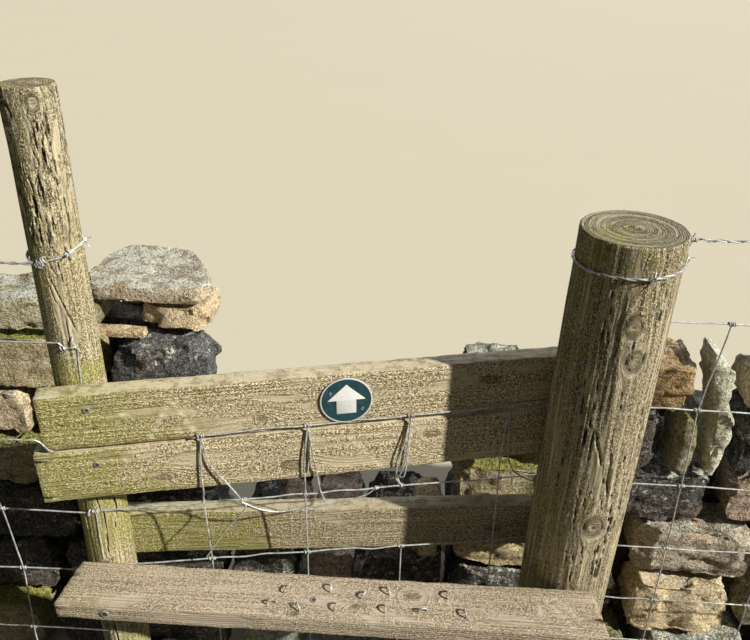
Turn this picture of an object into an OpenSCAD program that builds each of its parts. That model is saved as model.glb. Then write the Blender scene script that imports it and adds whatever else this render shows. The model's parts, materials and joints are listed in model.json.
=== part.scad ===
// Timber step stile in a gap of a dry stone wall, with stock netting and barbed wire.
// Millimetres. X runs along the wall, Y away from the walker's side, Z up from the ground.

/* [Posts] */
// Distance between the centres of the two stile posts
post_spacing = 726; // [660:1:800]
// Height of the slender left post
left_post_height = 1165; // [1060:1:1300]
// Diameter of the left post at the ground
left_post_diameter = 74; // [64:1:90]
// Height of the stout right post
right_post_height = 1006; // [920:1:1150]
// Diameter of the right post at the ground
right_post_diameter = 137; // [110:1:150]
// Chamfer round the cut top of each post
top_chamfer = 3; // [1:0.5:6]

/* [Boards] */
// Height of the top of the step above the ground
step_height = 450; // [400:1:480]
// Length of every sawn board
board_length = 806; // [780:1:860]
// Width of every sawn board
board_width = 87; // [75:1:95]
// Thickness of every sawn board
board_thickness = 32; // [25:1:38]
// Height of the upper edge of the top rail over the left post
top_rail_height = 775; // [740:1:830]
// Dark gap between the top rail and the middle rail
rail_gap = 3; // [1:0.5:8]
// Height of the upper edge of the lower rail over the left post
lower_rail_height = 482; // [440:1:510]
// Depth of the flat cut into a post behind each board
seat_depth = 1.5; // [1:0.25:3]

/* [Fixings] */
// Diameter of the long nails through the step
step_nail_diameter = 6; // [4:0.5:7]
// Length of the long nails through the step
step_nail_length = 150; // [120:5:160]
// Diameter of the nails in the rails
rail_nail_diameter = 4; // [3:0.5:5]
// Length of the nails in the rails
rail_nail_length = 85; // [60:5:100]
// Height the grip staples stand above the step
grip_rise = 6; // [4:0.5:9]

/* [Waymark] */
// Diameter of the waymark disc
disc_diameter = 75; // [60:1:80]
// Thickness of the waymark disc
disc_thickness = 2.5; // [1.5:0.5:4]
// Distance of the disc's centre along the top rail from its left end
disc_place = 409; // [300:1:480]

/* [Netting] */
// Diameter of the netting wires
net_wire = 2.5; // [2:0.1:3]
// Spacing of the upright stay wires
stay_spacing = 150; // [140:1:160]
// Stay spacings in the bay of fence on each side of the stile
bay_stays = 8; // [6:1:9]
// Height of the top line wire
net_top = 839; // [830:1:860]
// Height of the barbed wire on the fence stakes
barbed_height = 952; // [925:1:960]
// Diameter of the twisted barbed wire
barbed_wire = 4; // [3:0.5:5]

/* [Wall] */
// Clear distance from the middle of the stile to the left wall end
gap_left = 225; // [200:1:260]
// Clear distance from the middle of the stile to the right wall end
gap_right = 190; // [170:1:240]
// Distance from the back of the step to the near face of the wall at the ground
wall_setback = 165; // [162:1:220]
// Thickness of the wall at the ground
wall_width = 390; // [375:1:480]
// Inward slope of both faces per unit of height
wall_batter = 0.07; // [0.03:0.01:0.08]
// Length of a face stone into the wall
face_depth = 110; // [95:1:118]
// How much farther from the gap the left wall ends on its far side
end_splay = 70; // [30:1:90]
// Open joint between neighbouring stones
stone_joint = 7; // [4:1:12]
// Projection of the footing stones in front of the face
footing_projection = 16; // [8:1:18]
// Thickness of the thin slabs on the left wall
slab_thickness = 34; // [28:1:45]
// Thickness of the levelling stones under the slabs
levelling_height = 50; // [45:1:70]
// Height of the low sill across the gap
sill_height = 300; // [270:2:320]
// Length of the stone wedged behind the right post
packing_length = 210; // [180:2:230]
// Height of the stone wedged behind the right post
packing_height = 88; // [60:1:110]

/* [Hidden] */
bed_clearance = 0.4;
left_post_foot = [-post_spacing / 2, 34];
right_post_foot = [post_spacing / 2, 72];
left_lean = [0.010, 0.005];
right_lean = [0.011, -0.004];
left_taper = 0.87;
right_taper = 0.965;
top_tilt = 0.8;
lower_tilt = 1.25;
board_start = -42;
// The middle rail's left end stands out past the top rail's.
middle_rail_shift = -17;
rail_nail_place = 18;
rail_end_inset = 24;
bay_length = bay_stays * stay_spacing;
stake_diameter = left_post_diameter;
left_stake_foot = [-post_spacing / 2 - bay_length, 34];
right_stake_foot = [post_spacing / 2 + bay_length, 105];
// Heights of the line wires, close together at the ground and wide at the top.
line_heights = [for (share = [0.033, 0.119, 0.227, 0.352, 0.495, 0.653, 0.826, 1]) net_top * share];
first_stay = -post_spacing / 2 + 16;
// Stays over the stile, counted from the one on the left post.
stile_stays = [for (k = [1 : 4]) first_stay + k * stay_spacing];
left_courses = [150, 130, 120, 105, 100, 110];
right_courses = [150, 130, 120, 110];
course_stones = [4, 5, 5, 6, 5, 6];
head_depth = 150;
sill_depth = 270;
wall_length_left = bay_length + post_spacing / 2 - gap_left;
wall_length_right = bay_length + post_spacing / 2 - gap_right;
left_top = sum(left_courses, len(left_courses));
right_top = sum(right_courses, len(right_courses));
near_limit = -board_width - 2;
far_limit = wall_setback + wall_width + footing_projection;
middle_y = (near_limit + far_limit) / 2;

// Sum of the first few entries of a list.
function sum(list, count) = count == 0 ? 0 : list[count - 1] + sum(list, count - 1);

// Centre of a leaning post at one height.
function post_at(foot, lean, z) = foot + lean * z;

// Radius of a tapering post at one height.
function radius_at(diameter, taper, height, z) = diameter / 2 * (1 - (1 - taper) * z / height);

// Left and right post at one height.
function left_at(z) = post_at(left_post_foot, left_lean, z);
function right_at(z) = post_at(right_post_foot, right_lean, z);
function left_radius(z) = radius_at(left_post_diameter, left_taper, left_post_height, z);
function right_radius(z) = radius_at(right_post_diameter, right_taper, right_post_height, z);

// Plan angle of a line that passes the left post at one signed distance and the right at another.
function bearing(z, left_offset, right_offset) =
  let (run = right_at(z) - left_at(z))
  atan2(run[1], run[0]) - asin((right_offset - left_offset) / norm(run));

middle_rail_height = top_rail_height - board_width - rail_gap;
middle_rail_foot = middle_rail_height - board_width;
// The second wire lies on the rails over their gap; the third crosses under the middle rail.
rail_wire_height = middle_rail_height + 8;
crossing_wire_height = middle_rail_foot - 46;
first_knot_place = 204;
rail_level = top_rail_height - board_width;
rail_offset = left_radius(rail_level) - seat_depth + board_thickness;
rail_angle = bearing(rail_level, rail_offset, seat_depth - right_radius(rail_level));
lower_level = lower_rail_height - board_width / 2;
lower_offset = seat_depth - left_radius(lower_level);
lower_angle = bearing(lower_level, lower_offset, seat_depth - right_radius(lower_level));
step_offset = left_radius(step_height) - seat_depth;
step_angle = bearing(step_height, step_offset, right_radius(step_height) - seat_depth);

// Frames of the boards: x along the board from the left post, y away from the walker, z up.
module rail_frame() {
  translate([left_at(rail_level)[0], left_at(rail_level)[1], 0])
    rotate([0, 0, rail_angle])
      translate([0, -rail_offset, 0])
        children();
}

module lower_frame() {
  translate([left_at(lower_level)[0], left_at(lower_level)[1], 0])
    rotate([0, 0, lower_angle])
      translate([0, -lower_offset, 0])
        children();
}

module step_frame() {
  translate([left_at(step_height)[0], left_at(step_height)[1], 0])
    rotate([0, 0, step_angle])
      translate([0, -step_offset, 0])
        children();
}

// Puts the whole stile with the middle of its box over the origin.
module placed() {
  translate([0, -middle_y, 0])
    children();
}

// A sawn board on edge, hung from its upper edge, rising to the right by its tilt.
// Its left end is sawn askew: the lower corner stands in by the skew.
module edge_board(start, z_top, tilt, skew) {
  translate([0, board_thickness, z_top])
    rotate([90, -tilt, 0])
      linear_extrude(board_thickness)
        polygon([
          [start, 0],
          [start + board_length, 0],
          [start + board_length - 4, -board_width],
          [start + skew, -board_width]
        ]);
}

module top_rail_body() {
  rail_frame()
    edge_board(board_start, top_rail_height, top_tilt, 4);
}

module middle_rail_body() {
  rail_frame()
    edge_board(board_start + middle_rail_shift, middle_rail_height, top_tilt, 7);
}

module lower_rail_body() {
  lower_frame()
    edge_board(board_start, lower_rail_height, lower_tilt, 3);
}

// The step lies flat: left end sawn askew, right end in a shallow curve.
module step_body() {
  step_frame()
    translate([0, 0, step_height - board_thickness])
      linear_extrude(board_thickness)
        polygon([
          [board_start + 26, 0],
          [board_start + board_length - 12, 0],
          [board_start + board_length - 3, -board_width * 0.35],
          [board_start + board_length, -board_width],
          [board_start, -board_width]
        ]);
}

// A wire nail driven along +y with its head proud of the face at y = 0.
module nail(diameter, length) {
  rotate([-90, 0, 0])
    union() {
      translate([0, 0, -1.5])
        cylinder(h = 1.5, d = diameter * 2.1);
      cylinder(h = length - diameter, d = diameter);
      translate([0, 0, length - diameter])
        cylinder(h = diameter, d1 = diameter, d2 = 0.8);
    }
}

// Long nails through the width of the step into both posts.
module step_nail_set() {
  step_frame()
    for (x = [34, post_spacing - 12])
      translate([x, -board_width, step_height - board_thickness / 2])
        nail(step_nail_diameter, step_nail_length);
}

// Nails from the near side into the left post and from the far side into the right post.
module rail_nail_set() {
  rail_end = board_start + board_length - rail_end_inset;
  rail_frame() {
    for (z = [top_rail_height - board_width * 0.27, middle_rail_height - board_width * 0.29])
      translate([rail_nail_place, 0, z])
        nail(rail_nail_diameter, rail_nail_length);
    for (drop = [0.15, 0.6]) {
      nail_from_behind(rail_end, top_rail_height - board_width * drop, rail_nail_length);
      nail_from_behind(rail_end + middle_rail_shift, middle_rail_height - board_width * drop, rail_nail_length);
    }
  }
  lower_frame() {
    for (drop = [0.3, 0.7])
      nail_from_behind(0, lower_rail_height - board_width * drop, rail_nail_length * 0.7);
    for (drop = [0.1, 0.52])
      nail_from_behind(rail_end, lower_rail_height - board_width * drop, rail_nail_length);
  }
}

// A nail through a rail from its far side.
module nail_from_behind(x, z, length) {
  translate([x, board_thickness, z])
    rotate([0, 0, 180])
      nail(rail_nail_diameter, length);
}

// Straight length of six-sided wire between two points.
module rod(start, finish, diameter) {
  run = finish - start;
  reach = norm(run);
  translate(start)
    rotate([0, acos(run[2] / reach), atan2(run[1], run[0])])
      translate([0, 0, -diameter * 0.3])
        cylinder(h = reach + diameter * 0.6, d = diameter, $fn = 6);
}

// Bent wire through a list of points.
module wire(points, diameter) {
  for (i = [0 : len(points) - 2])
    rod(points[i], points[i + 1], diameter);
}

// Fence staple: its legs run along +y, its crown stands clear of a wire at y = 0.
module staple(spread, rise, bite) {
  half = spread / 2;
  wire([[0, bite, half], [0, -rise, half], [0, -rise, -half], [0, bite, -half]], 3);
}

// Staples half driven into the step for grip: place along the step, distance from its back, turn.
grip_places = [
  [286, -20, 70], [355, -22, 95], [273, -53, 20], [316, -59, 120], [369, -56, 80], [407, -31, 60],
  [445, -19, 110], [442, -52, 85], [495, -54, 15], [535, -17, 75], [560, -54, 100]
];

module grip_staple_set() {
  step_frame()
    for (place = grip_places)
      translate([place[0], place[1], step_height])
        rotate([-90, 0, place[2]])
          staple_down();
}

// A staple whose legs run down into the board.
module staple_down() {
  wire([[-5, 16, 0], [-5, -grip_rise, 0], [5, -grip_rise, 0], [5, 16, 0]], 2.4);
}

// A round post, cut off level with the ground.
module round_post(foot, lean, diameter, taper, height) {
  difference() {
    translate([foot[0], foot[1], 0])
      rotate([-atan(lean[1]), atan(lean[0]), 0])
        union() {
          translate([0, 0, -8])
            cylinder(h = height + 8 - top_chamfer, d1 = diameter, d2 = diameter * taper);
          translate([0, 0, height - top_chamfer])
            cylinder(h = top_chamfer, d1 = diameter * taper, d2 = diameter * taper - top_chamfer * 2);
        }
    translate([foot[0] - diameter, foot[1] - diameter, -40])
      cube([diameter * 2, diameter * 2, 40]);
  }
}

module left_post() {
  color("burlywood")
    placed()
      difference() {
        round_post(left_post_foot, left_lean, left_post_diameter, left_taper, left_post_height);
        top_rail_body();
        middle_rail_body();
        lower_rail_body();
        step_body();
        step_nail_set();
        rail_nail_set();
        netting_staple_set();
        barbed_staple_set();
      }
}

module right_post() {
  color("tan")
    placed()
      difference() {
        round_post(right_post_foot, right_lean, right_post_diameter, right_taper, right_post_height);
        top_rail_body();
        middle_rail_body();
        lower_rail_body();
        step_body();
        step_nail_set();
        rail_nail_set();
        netting_staple_set();
        barbed_staple_set();
      }
}

module left_stake() {
  color("burlywood")
    placed()
      difference() {
        round_post(left_stake_foot, [0, 0], stake_diameter, left_taper, left_post_height);
        netting_staple_set();
        barbed_staple_set();
      }
}

module right_stake() {
  color("burlywood")
    placed()
      difference() {
        round_post(right_stake_foot, [0, 0], stake_diameter, left_taper, left_post_height);
        netting_staple_set();
        barbed_staple_set();
      }
}

module step_board() {
  color("wheat")
    placed()
      difference() {
        step_body();
        step_nail_set();
        grip_staple_set();
      }
}

module top_rail() {
  color("tan")
    placed()
      difference() {
        top_rail_body();
        rail_nail_set();
      }
}

module middle_rail() {
  color("tan")
    placed()
      difference() {
        middle_rail_body();
        rail_nail_set();
      }
}

module lower_rail() {
  color("tan")
    placed()
      difference() {
        lower_rail_body();
        rail_nail_set();
      }
}

module step_nails() {
  color("gray")
    placed()
      step_nail_set();
}

module rail_nails() {
  color("gray")
    placed()
      rail_nail_set();
}

module grip_staples() {
  color("gray")
    placed()
      grip_staple_set();
}

// Frame on the near face of the top rail, at the middle of the disc, with z out of the face.
module disc_frame() {
  placed()
    rail_frame()
      translate([0, 0, top_rail_height])
        rotate([0, -top_tilt, 0])
          translate([board_start + disc_place, 0, -board_width / 2])
            rotate([90, 0, 0])
              children();
}

module disc_pin_set() {
  for (spot = [[-0.30, 0.18], [0.30, -0.20]])
    translate([spot[0] * disc_diameter, spot[1] * disc_diameter, disc_thickness])
      cylinder(h = 0.8, d = 4);
}

module waymark_disc() {
  color("darkslategray")
    disc_frame()
      cylinder(h = disc_thickness, d = disc_diameter);
}

// Broad plain arrow that points straight on.
module waymark_arrow() {
  reach = disc_diameter * 0.36;
  color("white")
    disc_frame()
      translate([0, 0, disc_thickness])
        linear_extrude(0.6)
          polygon([
            [0, reach],
            [reach, reach * 0.05],
            [reach * 0.52, reach * 0.05],
            [reach * 0.52, -reach * 0.78],
            [-reach * 0.52, -reach * 0.78],
            [-reach * 0.52, reach * 0.05],
            [-reach, reach * 0.05]
          ]);
}

module waymark_pins() {
  color("silver")
    disc_frame()
      disc_pin_set();
}

// Point on the surface of a round post: angle from +x, height, and distance out of the wood.
function on_post(centre, radius, angle, z, out) =
  [centre[0] + (radius + out) * cos(angle), centre[1] + (radius + out) * sin(angle), z];

function on_left_post(angle, z, out) = on_post(left_at(z), left_radius(z), angle, z, out);
function on_right_post(angle, z, out) = on_post(right_at(z), right_radius(z), angle, z, out);
function stake_radius(z) = radius_at(stake_diameter, left_taper, left_post_height, z);
function on_left_stake(angle, z, out) = on_post(left_stake_foot, stake_radius(z), angle, z, out);
function on_right_stake(angle, z, out) = on_post(right_stake_foot, stake_radius(z), angle, z, out);

// Point on the near face of the upper rails: distance along from the left post, height, and out.
function on_rail(x, z, out) =
  [
    left_at(rail_level)[0] + x * cos(rail_angle) + (rail_offset + out) * sin(rail_angle),
    left_at(rail_level)[1] + x * sin(rail_angle) - (rail_offset + out) * cos(rail_angle),
    z
  ];

// Point where a straight wire between two points passes one place along the wall.
function at_x(start, finish, x) = start + (finish - start) * (x - start[0]) / (finish[0] - start[0]);

// Knot that ties a stay to a line wire: a short fat sleeve along the line wire.
module knot(point) {
  rod(point - [4.5, 0, 0], point + [4.5, 0, 0], net_wire * 2.2);
}

// A bay of netting between two lists of wire ends: line wires crossed by stays, tied in knots.
module net_bay(starts, finishes, stays) {
  last = len(starts) - 1;
  for (i = [0 : last])
    rod(starts[i], finishes[i], net_wire);
  for (x = stays) {
    wire([for (i = [0 : last]) at_x(starts[i], finishes[i], x)], net_wire);
    for (i = [0 : last])
      knot(at_x(starts[i], finishes[i], x));
  }
}

// Netting on the near side of the left stake and post. The second wire from the top runs out to
// the corner of the rails, and the top wire turns round the post and down.
module left_netting() {
  half = net_wire / 2;
  color("silver")
    placed() {
      net_bay(
        [for (z = line_heights) on_left_stake(-92, z, half)],
        [for (i = [0 : 7]) i == 6 ? on_rail(board_start + 2, rail_wire_height, half)
          : on_left_post(i == 4 ? -140 : -95, line_heights[i], half)],
        [for (k = [1 : bay_stays - 1]) first_stay - k * stay_spacing]
      );
      wire([
        on_left_post(-95, net_top, half),
        on_left_post(-70, net_top + 3, half),
        on_left_post(-50, net_top + 2, half),
        on_left_post(-50, top_rail_height + 9, half)
      ], net_wire);
    }
}

// Netting on the far side of the right post and stake.
module right_netting() {
  half = net_wire / 2;
  color("silver")
    placed()
      net_bay(
        [for (z = line_heights) on_right_post(52, z, half)],
        [for (z = line_heights) on_right_stake(88, z, half)],
        [for (k = [6 : 4 + bay_stays]) first_stay + k * stay_spacing]
      );
}

// Ends of the line wires that still cross the stile, from the left post to the right post.
crossing_starts = [for (i = [0 : 5]) i == 5 ? crossing_wire_height : line_heights[i] + (i == 4 ? 12 : 4)];
crossing_rise = [2, 2, 2, 2, 10, 18];
stile_starts = [for (i = [0 : 5]) on_left_post(i == 4 ? -28 : (i == 5 ? -82 : -35),
  crossing_starts[i], net_wire / 2)];
stile_finishes = [for (i = [0 : 5]) on_right_post(130, crossing_starts[i] + crossing_rise[i], net_wire / 2)];

function on_line(i, x) = at_x(stile_starts[i], stile_finishes[i], x);

// Knots of the second wire, which lies on the rails, at the stays over the stile.
function knot_place(k) = board_start + first_knot_place + stay_spacing * k;
function rail_knot(k) = on_rail(knot_place(k), rail_wire_height + 3 + 3 * k, net_wire / 2);

// Place on the lower edge of the middle rail under a knot, shifted sideways.
function rail_foot(k, shift) = on_rail(knot_place(k) + shift, middle_rail_foot - 4, net_wire / 2);

// Netting over the stile. Its top wire is cut away, the second wire lies on the rails, and the
// cut stays hang loose from their knots or hook round the wires below.
module stile_netting() {
  half = net_wire / 2;
  color("silver")
    placed() {
      wire(concat(
        [on_rail(board_start - 1, rail_wire_height + 2, half)],
        [for (k = [0 : 3]) rail_knot(k)],
        [on_rail(post_spacing - 58, rail_wire_height + 16, half)]
      ), net_wire);
      for (k = [0 : 3])
        knot(rail_knot(k));
      for (i = [0 : 5])
        rod(stile_starts[i], stile_finishes[i], net_wire);
      for (k = [0 : 3]) {
        wire([for (i = [0 : 4]) on_line(i, stile_stays[k])], net_wire);
        for (i = [0 : 4])
          knot(on_line(i, stile_stays[k]));
      }
      whole_stays(half);
      loose_ends(half);
    }
}

// Stays that still reach from the rails to the wires below.
module whole_stays(half) {
  wire([rail_knot(0), rail_foot(0, -4), on_line(5, stile_stays[0] + 1), on_line(4, stile_stays[0])], net_wire);
  wire([rail_knot(1), rail_foot(1, -6), on_line(5, stile_stays[1] + 1), on_line(4, stile_stays[1])], net_wire);
  wire([rail_knot(3), rail_foot(3, -6), on_line(5, stile_stays[3] - 2), on_line(4, stile_stays[3])], net_wire);
  wire([
    stile_starts[5],
    on_left_post(-84, crossing_wire_height - 49, half),
    on_left_post(-84, step_height + 6, half)
  ], net_wire);
}

// Cut strands: bent out from the knots and left hanging.
module loose_ends(half) {
  wire([
    rail_knot(0),
    rail_foot(0, 30) + [0, -6, 30],
    rail_foot(0, 38) + [0, -5, 0],
    on_line(5, stile_stays[0] + 56) + [0, -6, 0],
    on_line(5, stile_stays[0] + 60) + [0, -5, -12],
    on_line(5, stile_stays[0] + 52) + [0, -5, -24],
    on_line(5, stile_stays[0] + 30) + [0, -6, -62],
    on_line(5, stile_stays[0] - 3) + [0, -8, -106]
  ], net_wire);
  wire([
    rail_knot(1),
    rail_foot(1, 12) + [0, -5, 30],
    rail_foot(1, 16) + [0, -4, 0],
    on_line(5, stile_stays[1] + 32) + [0, -2, -20]
  ], net_wire);
  wire([
    rail_knot(2),
    rail_foot(2, -14) + [0, -4, 40],
    rail_foot(2, -18) + [0, -3, 0],
    on_line(5, stile_stays[2] - 13) + [0, 0, 16],
    on_line(5, stile_stays[2] - 2)
  ], net_wire);
  wire([
    rail_knot(2),
    rail_foot(2, -4) + [0, -3, 24],
    rail_foot(2, -6) + [0, -2, -2],
    on_line(5, stile_stays[2] - 13) + [0, 0, 16]
  ], net_wire);
  wire([
    rail_knot(3),
    rail_foot(3, 8) + [0, -4, 10],
    on_line(5, stile_stays[3] + 26) + [0, -1, 3],
    on_line(5, stile_stays[3] + 50) + [0, 0, -10]
  ], net_wire);
  wire([
    on_line(5, stile_stays[0] + 56) + [0, -6, 0],
    on_line(5, stile_stays[1] - 40) + [0, -1, -30],
    on_line(5, stile_stays[1] - 8) + [0, 0, -29],
    on_line(5, stile_stays[1] + 34) + [0, -2, -24],
    on_line(5, stile_stays[1] + 88) + [0, -1, -14],
    on_line(5, stile_stays[1] + 108)
  ], net_wire);
}

// A fence staple driven into a post over a wire, given the post, the angle and the height.
module staple_on(centre, radius, angle, z, turn) {
  translate([centre[0] + radius * cos(angle), centre[1] + radius * sin(angle), z])
    rotate([0, 0, angle + 90])
      rotate([0, turn, 0])
        staple(11, net_wire + 2.2, 24);
}

// Fence staples that hold the netting to the posts and stakes.
module netting_staple_set() {
  for (i = [1, 3, 5, 7]) {
    staple_on(left_stake_foot, stake_radius(line_heights[i]), -92, line_heights[i], 12);
    staple_on(right_stake_foot, stake_radius(line_heights[i]), 88, line_heights[i], -10);
    staple_on(right_at(line_heights[i]), right_radius(line_heights[i]), 54, line_heights[i], 8);
  }
  for (i = [1, 3, 5])
    staple_on(left_at(line_heights[i]), left_radius(line_heights[i]), -98, line_heights[i], 14);
  staple_on(left_at(net_top), left_radius(net_top), -66, net_top + 3, 20);
}

module netting_staples() {
  color("gray")
    placed()
      netting_staple_set();
}

// Staples over the barbed wire.
right_barbed_height = barbed_height + 15;

module barbed_staple_set() {
  staple_on(left_stake_foot, stake_radius(barbed_height), -92, barbed_height, 0);
  staple_on(left_at(barbed_height), left_radius(barbed_height), -100, barbed_height, 10);
  staple_on(right_at(right_barbed_height), right_radius(right_barbed_height), 88, right_barbed_height, 0);
  staple_on(right_stake_foot, stake_radius(right_barbed_height), 88, right_barbed_height, 0);
}

module barbed_staples() {
  color("gray")
    placed()
      barbed_staple_set();
}

module left_barbed_wire() {
  color("silver")
    placed()
      barbed_run(
        on_left_stake(-92, barbed_height, barbed_wire / 2),
        on_left_post(-94, barbed_height, barbed_wire / 2)
      );
}

module right_barbed_wire() {
  color("silver")
    placed()
      barbed_run(
        on_right_post(86, right_barbed_height, barbed_wire / 2),
        on_right_stake(88, right_barbed_height, barbed_wire / 2)
      );
}

// Straight barbed wire with a four-pointed barb every hand's breadth.
module barbed_run(start, finish) {
  run = finish - start;
  count = floor(norm(run) / 100);
  rod(start, finish, barbed_wire);
  for (i = [1 : count - 1])
    translate(start + run * i / count) {
      rod([-3, 0, -9], [-3, 0, 9], 2);
      rod([3, -9, 0], [3, 9, 0], 2);
    }
}

// Loop of wire round each stile post, below the barbed wire.
module barbed_wire_ties() {
  drop = 9 + barbed_wire;
  color("silver")
    placed() {
      tie(left_post_foot, left_lean, left_radius(barbed_height - drop), barbed_height - drop);
      tie(right_post_foot, right_lean, right_radius(right_barbed_height - drop), right_barbed_height - drop);
    }
}

module tie(foot, lean, radius, z) {
  translate([foot[0], foot[1], 0])
    rotate([-atan(lean[1]), atan(lean[0]), 0])
      translate([0, 0, z])
        rotate_extrude()
          translate([radius + barbed_wire / 2, 0])
            circle(d = barbed_wire, $fn = 6);
}

// Irregular eight-sided face of a stone with level beds, within a box from a to b.
// A squared side stands upright on the edge of that box.
function stone_face(a, b, seed, squared) =
  let (r = rands(0, 1, 12, seed))
  let (w = b[0] - a[0], h = b[1] - a[1], c = min(w, h))
  let (left = squared[0] ? 0 : w, right = squared[1] ? 0 : w)
  [
    [a[0] + c * (0.06 + 0.14 * r[0]), a[1]],
    [b[0] - c * (0.06 + 0.14 * r[1]), a[1]],
    [b[0] - right * 0.03 * r[2], a[1] + h * (0.15 + 0.2 * r[3])],
    [b[0] - right * 0.05 * r[4], b[1] - h * (0.15 + 0.2 * r[5])],
    [b[0] - c * (0.08 + 0.22 * r[6]), b[1]],
    [a[0] + c * (0.08 + 0.22 * r[7]), b[1]],
    [a[0] + left * 0.05 * r[8], b[1] - h * (0.15 + 0.2 * r[9])],
    [a[0] + left * 0.03 * r[10], a[1] + h * (0.15 + 0.2 * r[11])]
  ];

// Plan of a stone: rough front at y = front, straight back at y = back.
function stone_plan(a, b, front, back, seed) =
  let (r = rands(0, 1, 6, seed + 500))
  let (w = b - a)
  [
    [a, back],
    [b, back],
    [b, front + 26 * r[0]],
    [b - w * (0.18 + 0.18 * r[1]), front + 7 * r[2]],
    [a + w * (0.18 + 0.18 * r[3]), front + 7 * r[4]],
    [a, front + 26 * r[5]]
  ];

// One stone: the face outline driven through the wall, cut by the plan.
module stone(low, high, front, back, seed, squared = [false, false]) {
  intersection() {
    translate([0, back, 0])
      rotate([90, 0, 0])
        linear_extrude(back - front)
          polygon(stone_face(low, high, seed, squared));
    translate([0, 0, low[1]])
      linear_extrude(high[1] - low[1])
        polygon(stone_plan(low[0], high[0], front, back, seed));
  }
}

// Place of the joint after the i-th of n stones, shifted at random but never at the ends.
function joint_at(i, n, length, seed) =
  i == 0 || i == n ? length * i / n : length * (i + rands(-0.24, 0.24, n + 1, seed)[i]) / n;

// One course of face stones with its outer face near y = 0 and its back at y = face_depth.
module face_course(length, z0, z1, n, relief, seed) {
  shift = rands(0, relief, n, seed + 90);
  for (i = [0 : n - 1])
    stone(
      [joint_at(i, n, length, seed) + (i == 0 ? 0 : stone_joint / 2), z0],
      [joint_at(i + 1, n, length, seed) - (i == n - 1 ? 0 : stone_joint / 2), z1 - bed_clearance],
      shift[i],
      face_depth,
      seed * 10 + i,
      [i == 0, i == n - 1]
    );
}

// Frame of a wall: x outward from its end at the gap, y from the near face at the ground.
module left_wall_frame() {
  placed()
    translate([-gap_left, wall_setback, 0])
      mirror([1, 0, 0])
        children();
}

module right_wall_frame() {
  placed()
    translate([gap_right, wall_setback, 0])
      children();
}

// Face stones above the footing on the near side, or mirrored on the far side.
module face_stones(length, courses, seed) {
  for (k = [1 : len(courses) - 1])
    translate([0, sum(courses, k) * wall_batter, 0])
      face_course(length, sum(courses, k), sum(courses, k + 1), course_stones[k], 16, seed + k);
}

module far_side() {
  translate([0, wall_width, 0])
    mirror([0, 1, 0])
      children();
}

// Footing stones on both sides, larger and standing forward.
module footing_stones(length, courses, splay, seed) {
  translate([0, -footing_projection, 0])
    footing_row(length, courses[0], seed);
  far_side()
    translate([splay, -footing_projection, 0])
      footing_row(length - splay, courses[0], seed + 40);
}

module footing_row(length, height, seed) {
  n = course_stones[0];
  for (i = [0 : n - 1])
    stone(
      [joint_at(i, n, length, seed) + (i == 0 ? 0 : stone_joint / 2), 0],
      [joint_at(i + 1, n, length, seed) - (i == n - 1 ? 0 : stone_joint / 2), height - bed_clearance],
      0,
      face_depth + footing_projection,
      seed * 10 + i,
      [i == 0, i == n - 1]
    );
}

// Packed rubble between the faces, stepped in with the batter, one mass.
module hearting(length, courses) {
  for (k = [0 : len(courses) - 1])
    translate([head_depth, sum(courses, k) * wall_batter + face_depth, sum(courses, k)])
      cube([
        length - head_depth * 2,
        wall_width - (sum(courses, k) * wall_batter + face_depth) * 2,
        courses[k]
      ]);
}

// Stones that close the two ends of a wall between its faces, set back at the gap by the splay.
module end_stones(length, courses, splay, seed) {
  for (k = [0 : len(courses) - 1])
    for (side = [0, 1])
      translate([side == 0 ? splay : length, wall_width / 2, 0])
        mirror([side, 0, 0])
          rotate([0, 0, -90])
            end_stone(
              wall_width / 2 - sum(courses, k) * wall_batter - face_depth - stone_joint / 2,
              sum(courses, k),
              sum(courses, k + 1),
              head_depth - (side == 0 ? splay : 0),
              seed + k * 2 + side
            );
}

module end_stone(half, z0, z1, depth, seed) {
  stone([-half, z0], [half, z1 - bed_clearance], 3, depth, seed);
}

module left_hearting() {
  color("dimgray")
    left_wall_frame()
      hearting(wall_length_left, left_courses);
}

module left_footing() {
  color("gray")
    left_wall_frame()
      footing_stones(wall_length_left, left_courses, end_splay, 11);
}

module left_near_face() {
  color("darkkhaki")
    left_wall_frame()
      face_stones(wall_length_left, left_courses, 120);
}

module left_far_face() {
  color("darkkhaki")
    left_wall_frame()
      far_side()
        translate([end_splay, 0, 0])
          face_stones(wall_length_left - end_splay, left_courses, 160);
}

module left_wall_ends() {
  color("gray")
    left_wall_frame()
      end_stones(wall_length_left, left_courses, end_splay, 200);
}

// Left wall above the top bed. Levelling stones: start, length, front and back edge behind the
// face, share of the levelling height. The second is a thin pinning in front of the first.
levelling_stones = [
  [4, 134, 42, 150, 1],
  [104, 94, 6, 38, 0.36],
  [196, 38, 44, 190, 1],
  [700, 150, 20, 230, 1],
  [858, 134, 28, 236, 1],
  [1000, 120, 24, 232, 1]
];

// Copes of the left wall: start, length, lift on levelling stones, thickness in slabs, front and
// back edge behind the face, slant of the end next to the gap.
left_cope_stones = [
  [2, 226, 1, 1, 38, 229, 40],
  [240, 250, 0, 2.15, 0, 128, 0],
  [506, 184, 0, 1.9, 14, 224, 0],
  [700, 214, 1, 1.2, 18, 258, 0],
  [922, 208, 1, 1.35, 12, 262, 0],
  [1140, 196, 0, 2.2, 8, 250, 0]
];
left_cope_length = 1338;

module left_levelling() {
  stretch = wall_length_left / left_cope_length;
  face = left_top * wall_batter;
  color("peru")
    left_wall_frame()
      for (i = [0 : len(levelling_stones) - 1])
        stone(
          [levelling_stones[i][0] * stretch, left_top],
          [
            (levelling_stones[i][0] + levelling_stones[i][1]) * stretch,
            left_top + levelling_stones[i][4] * levelling_height
          ],
          face + levelling_stones[i][2],
          face + levelling_stones[i][3],
          310 + i
        );
}

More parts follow.
